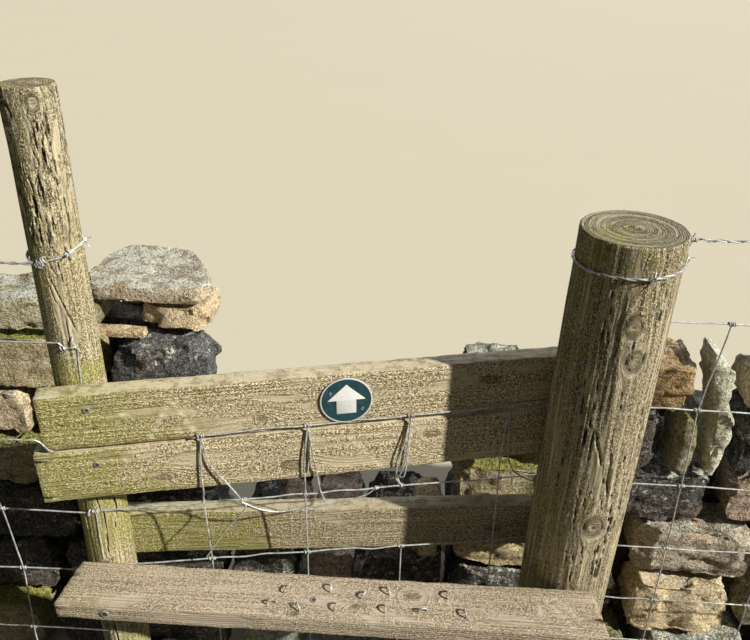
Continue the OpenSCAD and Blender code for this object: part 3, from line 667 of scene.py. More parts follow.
class Graph:
    """Node tree of one material."""

    def __init__(self, name: str) -> None:
        """Starts an empty material with its output and its surface shader.

        Args:
            name: Name of the material.
        """
        self.material = bpy.data.materials.new(name)
        self.material.use_nodes = True
        self.tree = self.material.node_tree
        self.tree.nodes.clear()
        output = self.tree.nodes.new("ShaderNodeOutputMaterial")
        self.shader = self.tree.nodes.new("ShaderNodeBsdfPrincipled")
        self.tree.links.new(self.shader.outputs[0], output.inputs[0])

    def fill(self, socket: bpy.types.NodeSocket, value: object) -> None:
        """Links a value to a socket, or sets it there.

        Args:
            socket: Socket of a node.
            value: Value to link, or what the socket is set to.
        """
        if isinstance(value, Value):
            self.tree.links.new(value.socket, socket)
        elif socket.type == "RGBA" and isinstance(value, tuple) and len(value) == 3:
            socket.default_value = (*value, 1.0)
        else:
            socket.default_value = value

    def add(
        self, kind: str, settings: dict | None = None, inputs: dict | None = None, output: int | str = 0
    ) -> Value:
        """Adds a node of any type.

        Args:
            kind: The node's type.
            settings: Attributes that are set first.
            inputs: Values or links of its sockets, by name or number.
            output: Socket that is handed back.

        Returns:
            The chosen output.
        """
        node = self.tree.nodes.new(kind)
        for key, value in (settings or {}).items():
            setattr(node, key, value)
        for key, value in (inputs or {}).items():
            self.fill(node.inputs[key], value)
        return Value(self, node.outputs[output])

    def maths(self, operation: str, a: Value | float, b: Value | float) -> Value:
        """One Math node."""
        return self.add("ShaderNodeMath", {"operation": operation}, {0: a, 1: b})

    def blend(self, share: Value | float, a: Value | Colour, b: Value | Colour, way: str = "MIX") -> Value:
        """Mixes two colours."""
        settings = {"data_type": "RGBA", "blend_type": way, "clamp_factor": True}
        return self.add("ShaderNodeMix", settings, {0: share, 6: a, 7: b}, 2)

    def place(self) -> Value:
        """Object coordinates."""
        return self.add("ShaderNodeTexCoord", output="Object")

    def stretch(self, vector: Value, scale: Point, offset: Point = (0, 0, 0)) -> Value:
        """Coordinates scaled and shifted."""
        return self.add("ShaderNodeMapping", None, {"Vector": vector, "Scale": scale, "Location": offset})

    def cloud(
        self, vector: Value, scale: float, detail: float = 3, roughness: float = 0.55, warp: float = 0.0
    ) -> Value:
        """Noise from 0 to 1."""
        inputs = {"Vector": vector, "Scale": scale, "Detail": detail, "Roughness": roughness}
        return self.add("ShaderNodeTexNoise", None, {**inputs, "Distortion": warp})

    def number(self, name: str) -> Value:
        """A number kept on the mesh."""
        return self.add("ShaderNodeAttribute", {"attribute_name": name}, output="Fac")

    def colour(self, name: str) -> Value:
        """A colour kept on the mesh."""
        return self.add("ShaderNodeAttribute", {"attribute_name": name}, output="Color")

    def channel(self, colour: Value, which: int) -> Value:
        """One channel of a colour."""
        return self.add("ShaderNodeSeparateColor", None, {0: colour}, which)

    def finish(
        self, colour: Value, roughness: Value | float, height: Value | None, depth: float, **constants: float
    ) -> bpy.types.Material:
        """Closes the material.

        Args:
            colour: Base colour.
            roughness: Roughness.
            height: Relief from 0 to 1, or None.
            depth: Depth of the relief in metres.
            constants: Values of other sockets, with _ for a space.

        Returns:
            The material.
        """
        self.fill(self.shader.inputs["Base Color"], colour)
        self.fill(self.shader.inputs["Roughness"], roughness)
        for key, value in constants.items():
            self.shader.inputs[key.replace("_", " ")].default_value = value
        if height is not None:
            bump = self.add("ShaderNodeBump", None, {"Strength": 1.0, "Distance": depth, "Height": height})
            self.fill(self.shader.inputs["Normal"], bump)
        return self.material


def shade(colour: Colour, share: float) -> Colour:
    """A colour made darker or lighter by a share."""
    return tuple(min(1.0, c * share) for c in colour)


@dataclass(frozen=True)
class TimberFinish:
    """Weathered softwood: colours of clean, grey, dark and bleached wood, and how much of each."""

    name: str
    clean: Colour
    grey: Colour
    late: Colour
    pale: Colour
    algae: Colour = (0.205, 0.200, 0.040)
    greyness: float = 0.5
    speckle: float = 0.5
    streaks: float = 0.45
    ring: float = RING_SPACING

    def material(self) -> bpy.types.Material:
        """Grain that follows the mesh's own grain map, rings, flecks, checks, knots and algae.

        Returns:
            The material.
        """
        g = Graph(self.name)
        grain = g.add("ShaderNodeUVMap", {"uv_map": "grain"})
        stain = g.colour("stain")
        crack, algae, knot = (g.channel(stain, k) for k in range(3))
        end, scar, upper, flaky = (g.number(name) for name in ("end_grain", "scar", "upper", "flaky"))
        radius = g.number("ring")
        place = g.place()
        fibre = g.cloud(g.stretch(grain, (900, 16, 1)), 1, 3, 0.6)
        streak = g.cloud(g.stretch(grain, (210, 5, 1)), 1, 3, 0.55, 0.3)
        band = g.cloud(g.stretch(grain, (55, 2.2, 1)), 1, 2, 0.5)
        fleck = g.cloud(g.stretch(grain, (340, 160, 1)), 1, 2, 0.6)
        crumb = g.cloud(g.stretch(grain, (620, 400, 1)), 1, 1, 0.5)
        rift = g.cloud(g.stretch(grain, (120, 24, 1)), 1, 4, 0.62, 0.6)
        blot = g.cloud(place, 9, 4, 0.6)
        dust = g.cloud(place, 60, 4, 0.65)
        patch = g.cloud(g.stretch(grain, (34, 8, 1)), 1, 3, 0.6, 0.5)
        speck = fleck * 0.40 + crumb * 0.60
        wobble = (streak - 0.5) * 0.0012 + (dust - 0.5) * 0.0008
        wave = g.maths("SINE", (radius + wobble) * (2 * math.pi / self.ring), 0.0) * 0.5 + 0.5
        line = wave**3.0
        weather = (blot.above(0.40, 0.62) * 0.6 + band.above(0.35, 0.65) * 0.4) * self.greyness
        wood = g.blend(weather, self.clean, self.grey)
        wood = g.blend(end * 0.6, wood, self.grey)
        wood = g.blend(patch.above(0.54, 0.66) * 0.35, wood, self.late)
        wood = g.blend(line * (0.25 + end * 0.50) + wave * end * 0.28, wood, self.late)
        wood = g.blend(streak.above(0.50, 0.62) * self.streaks, wood, self.late)
        wood = g.blend(fibre.above(0.53, 0.65) * self.streaks, wood, self.late)
        calm = (1 - (upper + end) * 0.6) * (1 - patch.above(0.46, 0.36) * 0.7)
        wood = g.blend(speck.above(0.485, 0.43) * self.speckle * calm * 0.95, wood, self.late)
        growth = algae * 1.25 + (dust - 0.5) * 2.0 + (blot - 0.5) * 1.2 + (speck - 0.5) * 1.4
        green = growth.above(0.35, 1.0)
        # Algae; on the posts this also paints shade on the side turned from the sun.
        wood = g.blend(green * 0.66, wood, self.algae)
        wood = g.blend(patch.above(0.46, 0.36) * (1 - green) * 0.30, wood, self.pale)
        bleached = g.blend(green * 0.60, self.pale, (0.56, 0.53, 0.16))
        wood = g.blend(speck.above(0.515, 0.562) * self.speckle * calm, wood, bleached)
        wood = g.blend(streak.above(0.48, 0.38) * self.streaks * 0.5, wood, bleached)
        # Pale patches on the rails' upward faces and top arrises: dust, and a painted highlight where the
        # tops catch the light.
        wood = g.blend(upper * dust.above(0.36, 0.56) * 0.55, wood, self.pale)
        wood = g.blend(scar * (0.35 + fleck * 0.9), wood, self.pale)
        eye = g.blend(line, shade(self.clean, 0.60), shade(self.late, 0.9))
        wood = g.blend(knot * 0.70, wood, eye)
        opened = rift.above(0.475, 0.50) * rift.above(0.525, 0.50) * flaky
        wood = g.blend(rift.above(0.53, 0.60) * flaky * 0.45, wood, self.pale)
        wood = g.blend((opened + crack.above(0.15, 0.8)) * 0.95, wood, (0.018, 0.014, 0.009))
        height = line * 0.30 + fibre * 0.40 + streak * 0.35 + speck * 1.1 * calm - crack * 0.5 - opened * 0.8
        gloss = 0.88 - line * 0.10 - fibre * 0.08
        return g.finish(wood, gloss, height, 0.0020, Specular_IOR_Level=0.22)


@dataclass(frozen=True)
class StoneFinish:
    """Gritstone: colour from the stone's own attribute, with grit, iron stain, lichen and moss."""

    name: str
    lichen: Colour = (0.70, 0.70, 0.58)
    moss: Colour = (0.20, 0.20, 0.035)
    iron: Colour = (0.36, 0.20, 0.085)

    def material(self) -> bpy.types.Material:
        """Rock colour per stone, with crusts and grit, wet darkening, and painted shade in hollows and under
        the stones.

        Returns:
            The material.
        """
        g = Graph(self.name)
        place = g.place()
        rock = g.colour("rock")
        growth = g.colour("growth")
        crust, moss, damp_and_shade = (g.channel(growth, k) for k in range(3))
        broad = g.cloud(place, 9, 3, 0.6)
        mottle = g.cloud(g.stretch(place, (1, 1, 1.5), (3.1, 0.7, 1.9)), 34, 5, 0.70)
        flake = g.cloud(place, 170, 3, 0.68)
        grit = g.cloud(place, 540, 2, 0.60)
        bed = g.cloud(g.stretch(place, (9, 9, 150)), 1, 4, 0.62, 0.4)
        speck = flake * 0.45 + grit * 0.55
        dark = g.blend(0.72, rock, (0.0, 0.0, 0.0))
        light = g.blend(0.22, g.blend(1.0, rock, (1.45, 1.40, 1.32), "MULTIPLY"), (0.92, 0.86, 0.72))
        stone = g.blend(broad.above(0.52, 0.68) * 0.35, rock, self.iron)
        stone = g.blend(mottle.above(0.50, 0.36) * 0.75, stone, dark)
        stone = g.blend(mottle.above(0.54, 0.66) * 0.45, stone, light)
        stone = g.blend(bed.above(0.55, 0.64) * 0.50, stone, dark)
        stone = g.blend(speck.above(0.495, 0.42) * 0.90, stone, dark)
        stone = g.blend(speck.above(0.515, 0.585) * 0.75, stone, light)
        cover = (crust * 1.05 + (mottle - 0.5) * 3.4 + (speck - 0.5) * 2.6).above(0.55, 0.72)
        pale = g.blend(speck.above(0.42, 0.53), shade(self.lichen, 0.34), self.lichen)
        stone = g.blend(cover * 0.90, stone, pale)
        green = (moss * 1.35 + (broad - 0.5) * 1.6 + (flake - 0.5) * 2.2).above(0.55, 0.95)
        tuft = g.blend(speck.above(0.42, 0.58), shade(self.moss, 0.35), shade(self.moss, 2.1))
        stone = g.blend(green * 0.85, stone, tuft)
        # Wet darkening, and painted shade under the stones and in their deepest hollows, drawn near black.
        stone = g.blend(damp_and_shade * 0.75, stone, (0.012, 0.012, 0.012))
        height = mottle * 0.60 + flake * 0.40 + grit * 0.18 + bed * 0.25 + cover * 0.10 + green * flake * 0.4
        return g.finish(stone, 0.92 - cover * 0.05, height, 0.0075, Specular_IOR_Level=0.18)


@dataclass(frozen=True)
class MetalFinish:
    """Steel wire or nails: bright zinc or bare metal with rust in patches."""

    name: str
    bright: Colour
    rust: Colour = (0.16, 0.065, 0.025)
    rusting: float = 0.2
    shine: float = 0.9

    def material(self) -> bpy.types.Material:
        """Dull spangle with rust freckles.

        Returns:
            The material.
        """
        g = Graph(self.name)
        place = g.place()
        patch = g.cloud(place, 130, 4, 0.7)
        fine = g.cloud(place, 900, 2, 0.5)
        spread = g.cloud(place, 14, 2, 0.5)
        rust = (patch + (spread - 0.5) * 0.8).above(0.80 - self.rusting, 0.98 - self.rusting)
        metal = g.blend(patch.above(0.38, 0.62), self.bright, shade(self.bright, 0.55))
        colour = g.blend(rust, metal, g.blend(fine, self.rust, shade(self.rust, 1.9)))
        colour = g.blend(g.number("hollow") * 0.85, colour, (0.03, 0.025, 0.02))
        g.fill(g.shader.inputs["Metallic"], (1 - rust) * self.shine)
        return g.finish(colour, 0.42 + rust * 0.4 + fine * 0.12, patch * 0.6 + fine * 0.4, 0.0004)


@dataclass(frozen=True)
class PlateFinish:
    """Weathered plastic of the waymark."""

    name: str
    face: Colour
    worn: Colour
    rim: Colour = (0.62, 0.64, 0.60)
    tears: float = 0.8

    def material(self) -> bpy.types.Material:
        """Chalked plastic with a white line at the rim, rust tears and grime.

        Returns:
            The material.
        """
        g = Graph(self.name)
        place = g.place()
        chalk = g.cloud(place, 110, 4, 0.65)
        grime = g.cloud(place, 300, 3, 0.6)
        tear = g.cloud(g.stretch(place, (150, 150, 40)), 1, 3, 0.6)
        colour = g.blend(chalk.above(0.42, 0.78) * 0.55, self.face, self.worn)
        colour = g.blend(tear.above(0.66, 0.76) * self.tears, colour, (0.20, 0.06, 0.02))
        colour = g.blend(g.number("rim"), colour, self.rim)
        colour = g.blend(grime.above(0.60, 0.74) * 0.4, colour, (0.05, 0.045, 0.02))
        return g.finish(colour, 0.38 + chalk * 0.3, grime, 0.0002)


@dataclass(frozen=True)
class FloorFinish:
    """Pale plain floor."""

    name: str = "pale_floor"
    colour: Colour = (0.62, 0.57, 0.44)
    bounce: Colour = (0.11, 0.10, 0.075)

    def material(self) -> bpy.types.Material:
        """Matt floor, pale to the camera and duller in the light that it throws back.

        Returns:
            The material.
        """
        g = Graph(self.name)
        soft = g.cloud(g.place(), 1.3, 3, 0.5)
        colour = g.blend(soft, shade(self.colour, 0.97), self.colour)
        seen = g.add("ShaderNodeLightPath", output="Is Camera Ray")
        return g.finish(g.blend(seen, self.bounce, colour), 0.95, None, 0.0, Specular_IOR_Level=0.05)


@dataclass(frozen=True)
class Knot:
    """A knot on a post: angle from +X in degrees, height and radius in metres."""

    angle: float
    height: float
    radius: float
    proud: float = 0.0015


@dataclass(frozen=True)
class Check:
    """A drying crack on a post: where it starts and ends (degrees, metres), its width and depth."""

    start: Pair
    end: Pair
    width: float
    depth: float
    wander: float


def splinters(
    seed: int, count: int, angles: Pair, heights: Pair, size: float, bold: float
) -> tuple[Check, ...]:
    """Short torn checks scattered over a part of a post.

    Args:
        seed: Number that sets the pattern.
        count: How many.
        angles: Range of their angles from +X in degrees.
        heights: Range of their upper ends in metres.
        size: Length of the longest.
        bold: Share of their usual width and depth.

    Returns:
        The checks.
    """
    chance = np.random.default_rng(seed)
    checks = []
    for _ in range(count):
        angle, top = chance.uniform(*angles), chance.uniform(*heights)
        foot = (angle + chance.uniform(-5, 5), top - size * chance.uniform(0.4, 1.0))
        width, depth, wander = chance.uniform((0.0011, 0.003, 0.002), (0.0024, 0.007, 0.006))
        checks.append(Check((angle, top), foot, width * bold, depth * bold, wander))
    return tuple(checks)


@dataclass
class RoundPost:
    """A round post with grain, knots, checks and a weathered top.

    Algae are given as low, high and amount, and so is the flaking of the skin.
    """

    plan: Layout
    post: str
    seed: int
    sides: int
    rings: int
    knots: tuple[Knot, ...]
    checks: tuple[Check, ...]
    algae: tuple[Point, ...]
    seats: tuple[BoardFrame, ...] = ()
    ripple: float = 0.0011
    arris: float = 0.0025
    crown_grid: float = 0.0022
    flaking: Point = (0.0, 0.1, 0.3)
    # Angle of the side that gets extra algae and painted shade, turned away from the sun.
    algae_and_shade_side: float = -150.0

    @property
    def node(self) -> str:
        """CAD node that the post stands for."""
        return self.post if self.post.endswith("stake") else self.post + "_post"

    def build(self) -> Piece:
        """Turns the blank, cuts its rings and its top, then wears it.

        Returns:
            The post.
        """
        diameter, taper, height = self.plan.turned(self.post)
        top = diameter * taper
        deselect()
        bpy.ops.mesh.primitive_cone_add(
            vertices=self.sides, radius1=diameter / 2, radius2=top / 2, depth=height,
            end_fill_type="NGON", location=(0, 0, height / 2),
        )
        piece = bpy.context.object
        settle(piece)
        edit(piece)
        split(piece, "z", height / 2, TENTHS)
        split(piece, "z", height / 20, self.rings // 10 - 1)
        pick(piece, "EDGE", lambda e: all(v.co.z > height - 1e-5 for v in e.verts))
        bpy.ops.mesh.bevel(offset=self.arris, segments=3, affect="EDGES")
        steps = int(top / 2 / self.crown_grid) - 3
        pick(piece, "FACE", lambda f: len(f.verts) == self.sides and f.normal.z > 0.9)
        for _ in range(steps):
            bpy.ops.mesh.inset(thickness=top / 2 / (steps + 2))
        bpy.ops.mesh.poke()
        deselect()
        self.wear(piece)
        piece.name = self.node + ".timber"
        return smooth(piece, 50)

    def wear(self, piece: Piece) -> None:
        """Moves the surface for grain, knots and checks, and keeps what the material needs.

        Args:
            piece: The turned blank.
        """
        diameter, _, height = self.plan.turned(self.post)
        seed = self.seed
        p = points_of(piece)
        z = p[:, 2]
        radial = np.hypot(p[:, 0], p[:, 1])
        skin = self.plan.radius(self.post, z)
        depth_in = unit((skin - radial) / 0.004)
        crown = (z > height - 0.0009) & (radial < skin - 0.0015)
        turn = np.arctan2(p[:, 1], p[:, 0])
        around = np.stack([np.cos(turn), np.sin(turn)], axis=1)
        swell = rough(np.column_stack([around * 3.0, z * 1.4]) + seed, seed, 3) * diameter * 0.012
        fine = np.column_stack([around * skin[:, None] * 420, z * 9])
        ridges = rough(fine + seed * 3.1, seed + 5, 2)
        patches = rough(np.column_stack([around * 2.2, z * 9]), seed + 9, 3)
        move = swell - np.clip(ridges, -1, 1) * self.ripple * (0.6 + 0.6 * patches)
        grain_u, crack, knot, scar = turn * skin, np.zeros(len(p)), np.zeros(len(p)), np.zeros(len(p))
        for item in self.knots:
            size = item.radius
            du = (turn - math.radians(item.angle) + math.pi) % (2 * math.pi) - math.pi
            du, dz = du * skin, (z - item.height) * 0.78
            far = np.hypot(du, dz) * (1 + 0.16 * rough(rows(du * 45, dz * 45, item.height), 5, 3))
            core = bell(far / size, 6)
            grain_u -= du * np.minimum(0.96, size**2 / np.maximum(far**2, 1e-9)) * 0.9 * (1 - core)
            ring = np.sin(far / size * 13.0) * 0.0003 * bell(far / (size * 1.4), 4)
            centre = bell(far / (size * 0.30))
            move += item.proud * bell(far / (size * 1.9)) + ring - 0.0009 * centre
            rim = bell((far - size * 0.98) / (size * 0.10)) * (dz > -size * 0.3)
            move -= rim * 0.0018
            crack = np.maximum(crack, np.maximum(rim * 0.55, centre * 0.30))
            lower = bell((far - size * 1.25) / (size * 0.20)) * unit(-dz / size)
            scar = np.maximum(scar, lower * 0.9)
            grain_u += (far - grain_u) * core
            knot = np.maximum(knot, core * 0.55)
        for item in self.checks:
            low, high = sorted((item.start, item.end), key=lambda q: q[1])
            t = unit((z - low[1]) / max(1e-6, high[1] - low[1]))
            angle = np.radians(low[0] + (high[0] - low[0]) * t)
            wander = rough(rows(z * 26, item.start[0], 0.0), seed + 31, 3) * item.wander
            du = ((turn - angle + math.pi) % (2 * math.pi) - math.pi) * skin + wander
            inside = (z > low[1]) & (z < high[1])
            ends = unit(np.sin(np.pi * np.clip(t, 0.001, 0.999)) * 2.2)
            uneven = 0.75 + 0.5 * rough(rows(z * 60, 0.0, item.start[0]), 3, 2)
            width = item.width * (0.35 + 0.65 * ends) * uneven
            slot = bell(du / np.maximum(width * 0.62, 6e-4)) * inside * ends
            lip = bell(du / (item.width * 3.0)) * inside * ends
            move += lip * 0.0007 - slot * item.depth
            crack = np.maximum(crack, slot)
            scar = np.maximum(scar, (lip - slot * 1.5) * min(1.0, item.width / 0.004))
        side = ~crown
        p[side, 0] += (around[:, 0] * move * (1 - depth_in))[side]
        p[side, 1] += (around[:, 1] * move * (1 - depth_in))[side]
        pith = rough(np.column_stack([around * 1.3, z * 0.5]), seed + 40, 2) * 0.12 + 1.0
        ring = radial * pith + np.where(crown, 0, move)
        wave = (np.sin(ring * 2 * np.pi / RING_SPACING) * 0.5 + 0.5) ** 2
        spokes = rough(np.column_stack([around * 16, radial * 30]), seed + 50, 2)
        p[crown, 2] += (wave * 0.0006 - np.abs(spokes) * 0.0006)[crown] - 0.0004
        x, y = self.plan.centre(self.post, z)
        p[:, 0] += x
        p[:, 1] += y
        move_points(piece, self.seat(p))
        green = np.zeros(len(p))
        for low, high, amount in self.algae:
            middle, half = (low + high) / 2, (high - low) / 2
            green = np.maximum(green, amount * unit(1.25 - np.abs(z - middle) / half))
        # Extra algae on the side turned away from the sun, which also paints shade there.
        green += 0.45 * unit(np.cos(turn - math.radians(self.algae_and_shade_side)))
        ring = np.where(crown, ring, grain_u * 0.28 + patches * 0.002 + seed * 0.01)
        mark_wood(piece, crack, green, knot, ring, crown, scar)
        low, high, most = self.flaking
        store(piece, "flaky", unit((z - low) / (high - low)) * unit(patches + 0.7) * most * ~crown)
        u, v = np.where(crown, radial, grain_u), np.where(crown, turn * 0.05, z)
        map_grain(piece, u, v, math.pi * diameter * 0.8)

    def seat(self, p: Array) -> Array:
        """Flattens the post where a board lies on it, as its seats are cut.

        Args:
            p: Points of the post.

        Returns:
            The points with the seats cut.
        """
        plan = self.plan
        foot = plan.centre(self.post, 0)
        for frame in self.seats:
            back = frame.matrix.inverted()
            q = through(back, p)
            flat = frame.top == plan.step_height
            depth, tall = plan.section(flat)
            if flat:
                face, inside = 0.0, (q[:, 1] < 0) & (q[:, 1] > -depth)
            else:
                in_front = (back @ Vector((*foot, frame.top))).y > depth / 2
                face, inside = depth if in_front else 0.0, (q[:, 1] > 0) & (q[:, 1] < depth)
            inside &= (q[:, 2] < 0.0005) & (q[:, 2] > -tall - 0.0005)
            inside &= (q[:, 0] > plan.board_start) & (q[:, 0] < plan.board_start + plan.board_length)
            q[inside, 1] = face
            p = through(frame.matrix, q)
        return p


@dataclass(frozen=True)
class BoardKnot:
    """A knot on a board: distance from its left end, place across the face, and radius."""

    along: float
    across: float
    radius: float


@dataclass
class SawnBoard:
    """A sawn board with worn arrises, raised grain, knots and end checks."""

    node: str
    frame: BoardFrame
    plan: Layout
    seed: int
    algae: Pair
    flat: bool = False
    shift: float = 0.0
    reach: float = 0.007
    knots: tuple[BoardKnot, ...] = ()
    scratches: tuple[tuple[float, float, float, float], ...] = ()
    holes: tuple[Point, ...] = ()
    growth: float = 1.0
    arris: float = 0.0022
    ring_spacing: float = 0.0034
    splits: tuple[tuple[float, float, float, float], ...] = ()

    def build(self) -> Piece:
        """Saws the blank, cuts a fine grid, rounds the arrises and wears it.

        Returns:
            The board.
        """
        plan = self.plan
        length = plan.board_length
        width, tall = plan.section(self.flat)
        deselect()
        bpy.ops.mesh.primitive_cube_add(size=1, location=(0, 0, 0))
        piece = bpy.context.object
        piece.scale = (length, width, tall)
        middle = -width / 2 if self.flat else width / 2
        piece.location = (plan.board_start + length / 2, middle, -tall / 2)
        settle(piece)
        edit(piece)
        bpy.ops.mesh.bevel(offset=self.arris, segments=3, affect="EDGES")
        for axes, least, cuts in (("x", 0.1, TENTHS), ("x", 0.01, 12), ("yz", 0.06, 33), ("yz", 0.02, 9)):
            split(piece, axes, least, cuts)
        deselect()
        self.wear(piece)
        piece.name = self.node + ".timber"
        return smooth(piece, 55)

    def wear(self, piece: Piece) -> None:
        """Shapes ends and faces and keeps grain, rings and stains on the mesh.

        Args:
            piece: The sawn blank.
        """
        plan, seed, flat = self.plan, self.seed, self.flat
        p, n = points_of(piece), normals_of(piece)
        length = plan.board_length
        width, tall = plan.section(flat)
        x, y, down = p[:, 0] - plan.board_start, -p[:, 1] if flat else p[:, 1], -p[:, 2]
        along_face = y if flat else down
        end = np.abs(n[:, 0]) > 0.7
        pith = (0.030, -0.055) if flat else (-0.050, 0.036)
        bend = rough(rows(x * 4, y * 9, down * 9) + seed, seed, 3) * 0.004
        grain_v, knot, crack, bulge = along_face.copy(), np.zeros(len(p)), np.zeros(len(p)), np.zeros(len(p))
        ring = np.hypot(y - pith[0], down - pith[1] - tall * 0.1 * np.sin(x * 2.1 + seed)) + bend
        for item in self.knots:
            dx, dv = (x + self.shift - item.along) * 0.6, along_face - item.across
            far = np.hypot(dx, dv)
            core = bell(far / item.radius, 4)
            pull = bell(far / (item.radius * 3))
            grain_v += np.sign(dv) * -item.radius * pull * 0.8
            ring = np.where(core > 0.5, far * 0.9, ring + pull * 0.010)
            knot = np.maximum(knot, core)
            bulge += 0.0007 * core - 0.0008 * bell((far - item.radius) / 0.0012)
        fibres = rough(rows(x * 14, y * 300, down * 300) + seed * 7, seed + 3, 2)
        saw = np.sin(x * 2 * np.pi / 0.011 + rough(rows(x * 6, y * 20, down * 20), seed, 2) * 3)
        hollow = rough(rows(x * 5, y * 16, down * 16) + seed, seed + 8, 3)
        wave = (np.sin(ring * 2 * np.pi / self.ring_spacing) * 0.5 + 0.5) ** 2
        move = -0.0006 * np.abs(fibres) + 0.0001 * saw + 0.0008 * hollow - 0.0004 * wave - 0.0006 + bulge
        edges = [np.minimum(y, width - y), np.minimum(down, tall - down), np.minimum(x, length - x)]
        worn = bell(np.sort(np.stack(edges), axis=0)[1] / 0.004)
        move -= worn * (0.0010 + 0.0016 * unit(rough(p * 38 + seed, seed + 12, 3)))
        for start, finish, across, depth in self.splits:
            t = unit((x - start) / (finish - start))
            line = across + rough(rows(x * 20, 0.0, seed), seed + 21, 2) * 0.0018
            slot = bell((along_face - line) / 0.0010) * np.sin(np.pi * np.clip(t, 0.001, 0.999)) ** 0.5
            slot = slot * ((x > start) & (x < finish))
            move -= slot * depth
            crack = np.maximum(crack, slot)
        for along, across, radius in self.holes:
            hole = bell(np.hypot(x + self.shift - along, along_face - across) / radius, 4)
            move -= hole * 0.0035
            crack = np.maximum(crack, hole)
        fade = unit(1 - np.minimum(x, length - x) / 0.030)
        ticks = unit(rough(rows(x * 3, y * 260, down * 260), seed + 25, 2) - 0.45) * fade * 2
        move -= ticks * 0.0012
        crack = np.maximum(crack, unit(ticks * 1.4))
        p += n * move[:, None]
        saw_end = rough(rows(seed, y * 60, down * 60), seed + 30, 2) * 0.0012
        p[:, 0] += np.where(end, saw_end - np.sign(n[:, 0]) * 0.001, 0)
        p = self.trim(p, x, y, down)
        p[:, 0] += self.shift
        scar = np.zeros(len(p))
        for x0, a0, x1, a1 in self.scratches:
            run = np.array([x1 - x0, a1 - a0])
            t = unit(((x - x0) * run[0] + (along_face - a0) * run[1]) / (run @ run))
            off = np.hypot(x - x0 - t * run[0], along_face - a0 - t * run[1])
            scar = np.maximum(scar, bell(off / 0.0018))
        low, high = self.algae
        green = unit(1 - (x - low) / (high - low))
        foot = unit((down - tall * 0.55) / (tall * 0.45)) * (not flat) * unit(1.2 - x / 0.45)
        move_points(piece, through(self.frame.matrix, p))
        mark_wood(piece, crack, green * self.growth + foot * 0.35, knot, ring + seed * 0.01, end, scar)
        # How far each face turns up; the material puts dust and a painted highlight there.
        store(piece, "upper", unit((n[:, 2] - 0.4) / 0.4) * (not flat))
        u = np.where(end, y + seed, grain_v + (down if flat else y) + seed)
        map_grain(piece, u, np.where(end, down, x))

    def trim(self, p: Array, x: Array, y: Array, down: Array) -> Array:
        """Saws the ends as the frame's board has them.

        Args:
            p: Points of the board.
            x: Distance of each from the left end.
            y: Distance into the board.
            down: Distance below its top.

        Returns:
            The points with the ends cut.
        """
        plan = self.plan
        left, right = unit(1 - x / 0.06), unit(1 - (plan.board_length - x) / 0.06)
        if self.flat:
            back = 1 - y / plan.board_width
            p[:, 0] += left * 0.010 * back - right * (0.012 * back**1.6)
        else:
            low = down / plan.board_width
            p[:, 0] -= left * self.reach + right * 0.004 * low
        return p


def curve_through(points: Sequence[Vector], steps: int = 6) -> list[Vector]:
    """Smooth path through points.

    Args:
        points: Places that the path passes.
        steps: Pieces between two of them.

    Returns:
        Points along the path.
    """
    if len(points) < 3:
        return list(points)
    ends = [points[0] * 2 - points[1], *points, points[-1] * 2 - points[-2]]
    path = []
    for i in range(1, len(ends) - 2):
        a, b, c, d = ends[i - 1 : i + 3]
        first, second, third = c - a, a * 2 - b * 5 + c * 4 - d, b * 3 - a - c * 3 + d
        for k in range(steps):
            t = k / steps
            path.append(0.5 * (b * 2 + first * t + second * t**2 + third * t**3))
    return path + [ends[-2]]


def crossing(path: Sequence[Vector], x: float) -> tuple[Vector, Vector]:
    """Place and direction of a wire where it passes an x."""
    i = max(1, next((j for j, q in enumerate(path) if q.x > x), len(path) - 1))
    a, b = path[i - 1], path[i]
    return a.lerp(b, (x - a.x) / (b.x - a.x)), b - a


def crimped(
    start: Vector, finish: Vector, seed: int, pitch: float = 0.012, sway: float = 0.0012, sag: float = 0.0
) -> list[Vector]:
    """Straight wire with the small waves and the sag that it has in a fence.

    Args:
        start: One end.
        finish: The other end.
        seed: Number that sets the waves.
        pitch: Length of one step.
        sway: Size of the waves.
        sag: Sag in the middle.

    Returns:
        Points along the wire.
    """
    run = finish - start
    count = max(2, int(run.length / pitch))
    cells = [[i * 0.35 + seed * 3.7, k * 9.1, seed * 1.3] for k in range(2) for i in range(count + 1)]
    waves = noise(np.array(cells), seed).reshape(2, -1)
    path = []
    for i in range(count + 1):
        t = i / count
        fade = min(1.0, t * 8, (1 - t) * 8)
        lift = Vector((0, waves[0][i] * sway * fade, waves[1][i] * sway * 1.6 * fade - sag * 4 * t * (1 - t)))
        path.append(start + run * t + lift)
    return path


def coil(
    centre: Vector, axis: Vector, radius: float, turns: float, pitch: float, start: float = 0.0
) -> list[Vector]:
    """Turns of wire wrapped round an axis.

    Args:
        centre: Middle of the coil.
        axis: Direction of its axis.
        radius: Radius of a turn.
        turns: Number of turns.
        pitch: Rise of one turn.
        start: Angle at which the wire starts.

    Returns:
        Points along the wire.
    """
    axis = axis.normalized()
    side = axis.orthogonal().normalized()
    other = axis.cross(side)
    count = max(6, int(turns * 10))
    path = []
    for i in range(count + 1):
        a = start + 2 * math.pi * turns * i / count
        along = (i / count - 0.5) * turns * pitch
        path.append(centre + axis * along + side * (radius * math.cos(a)) + other * (radius * math.sin(a)))
    return path


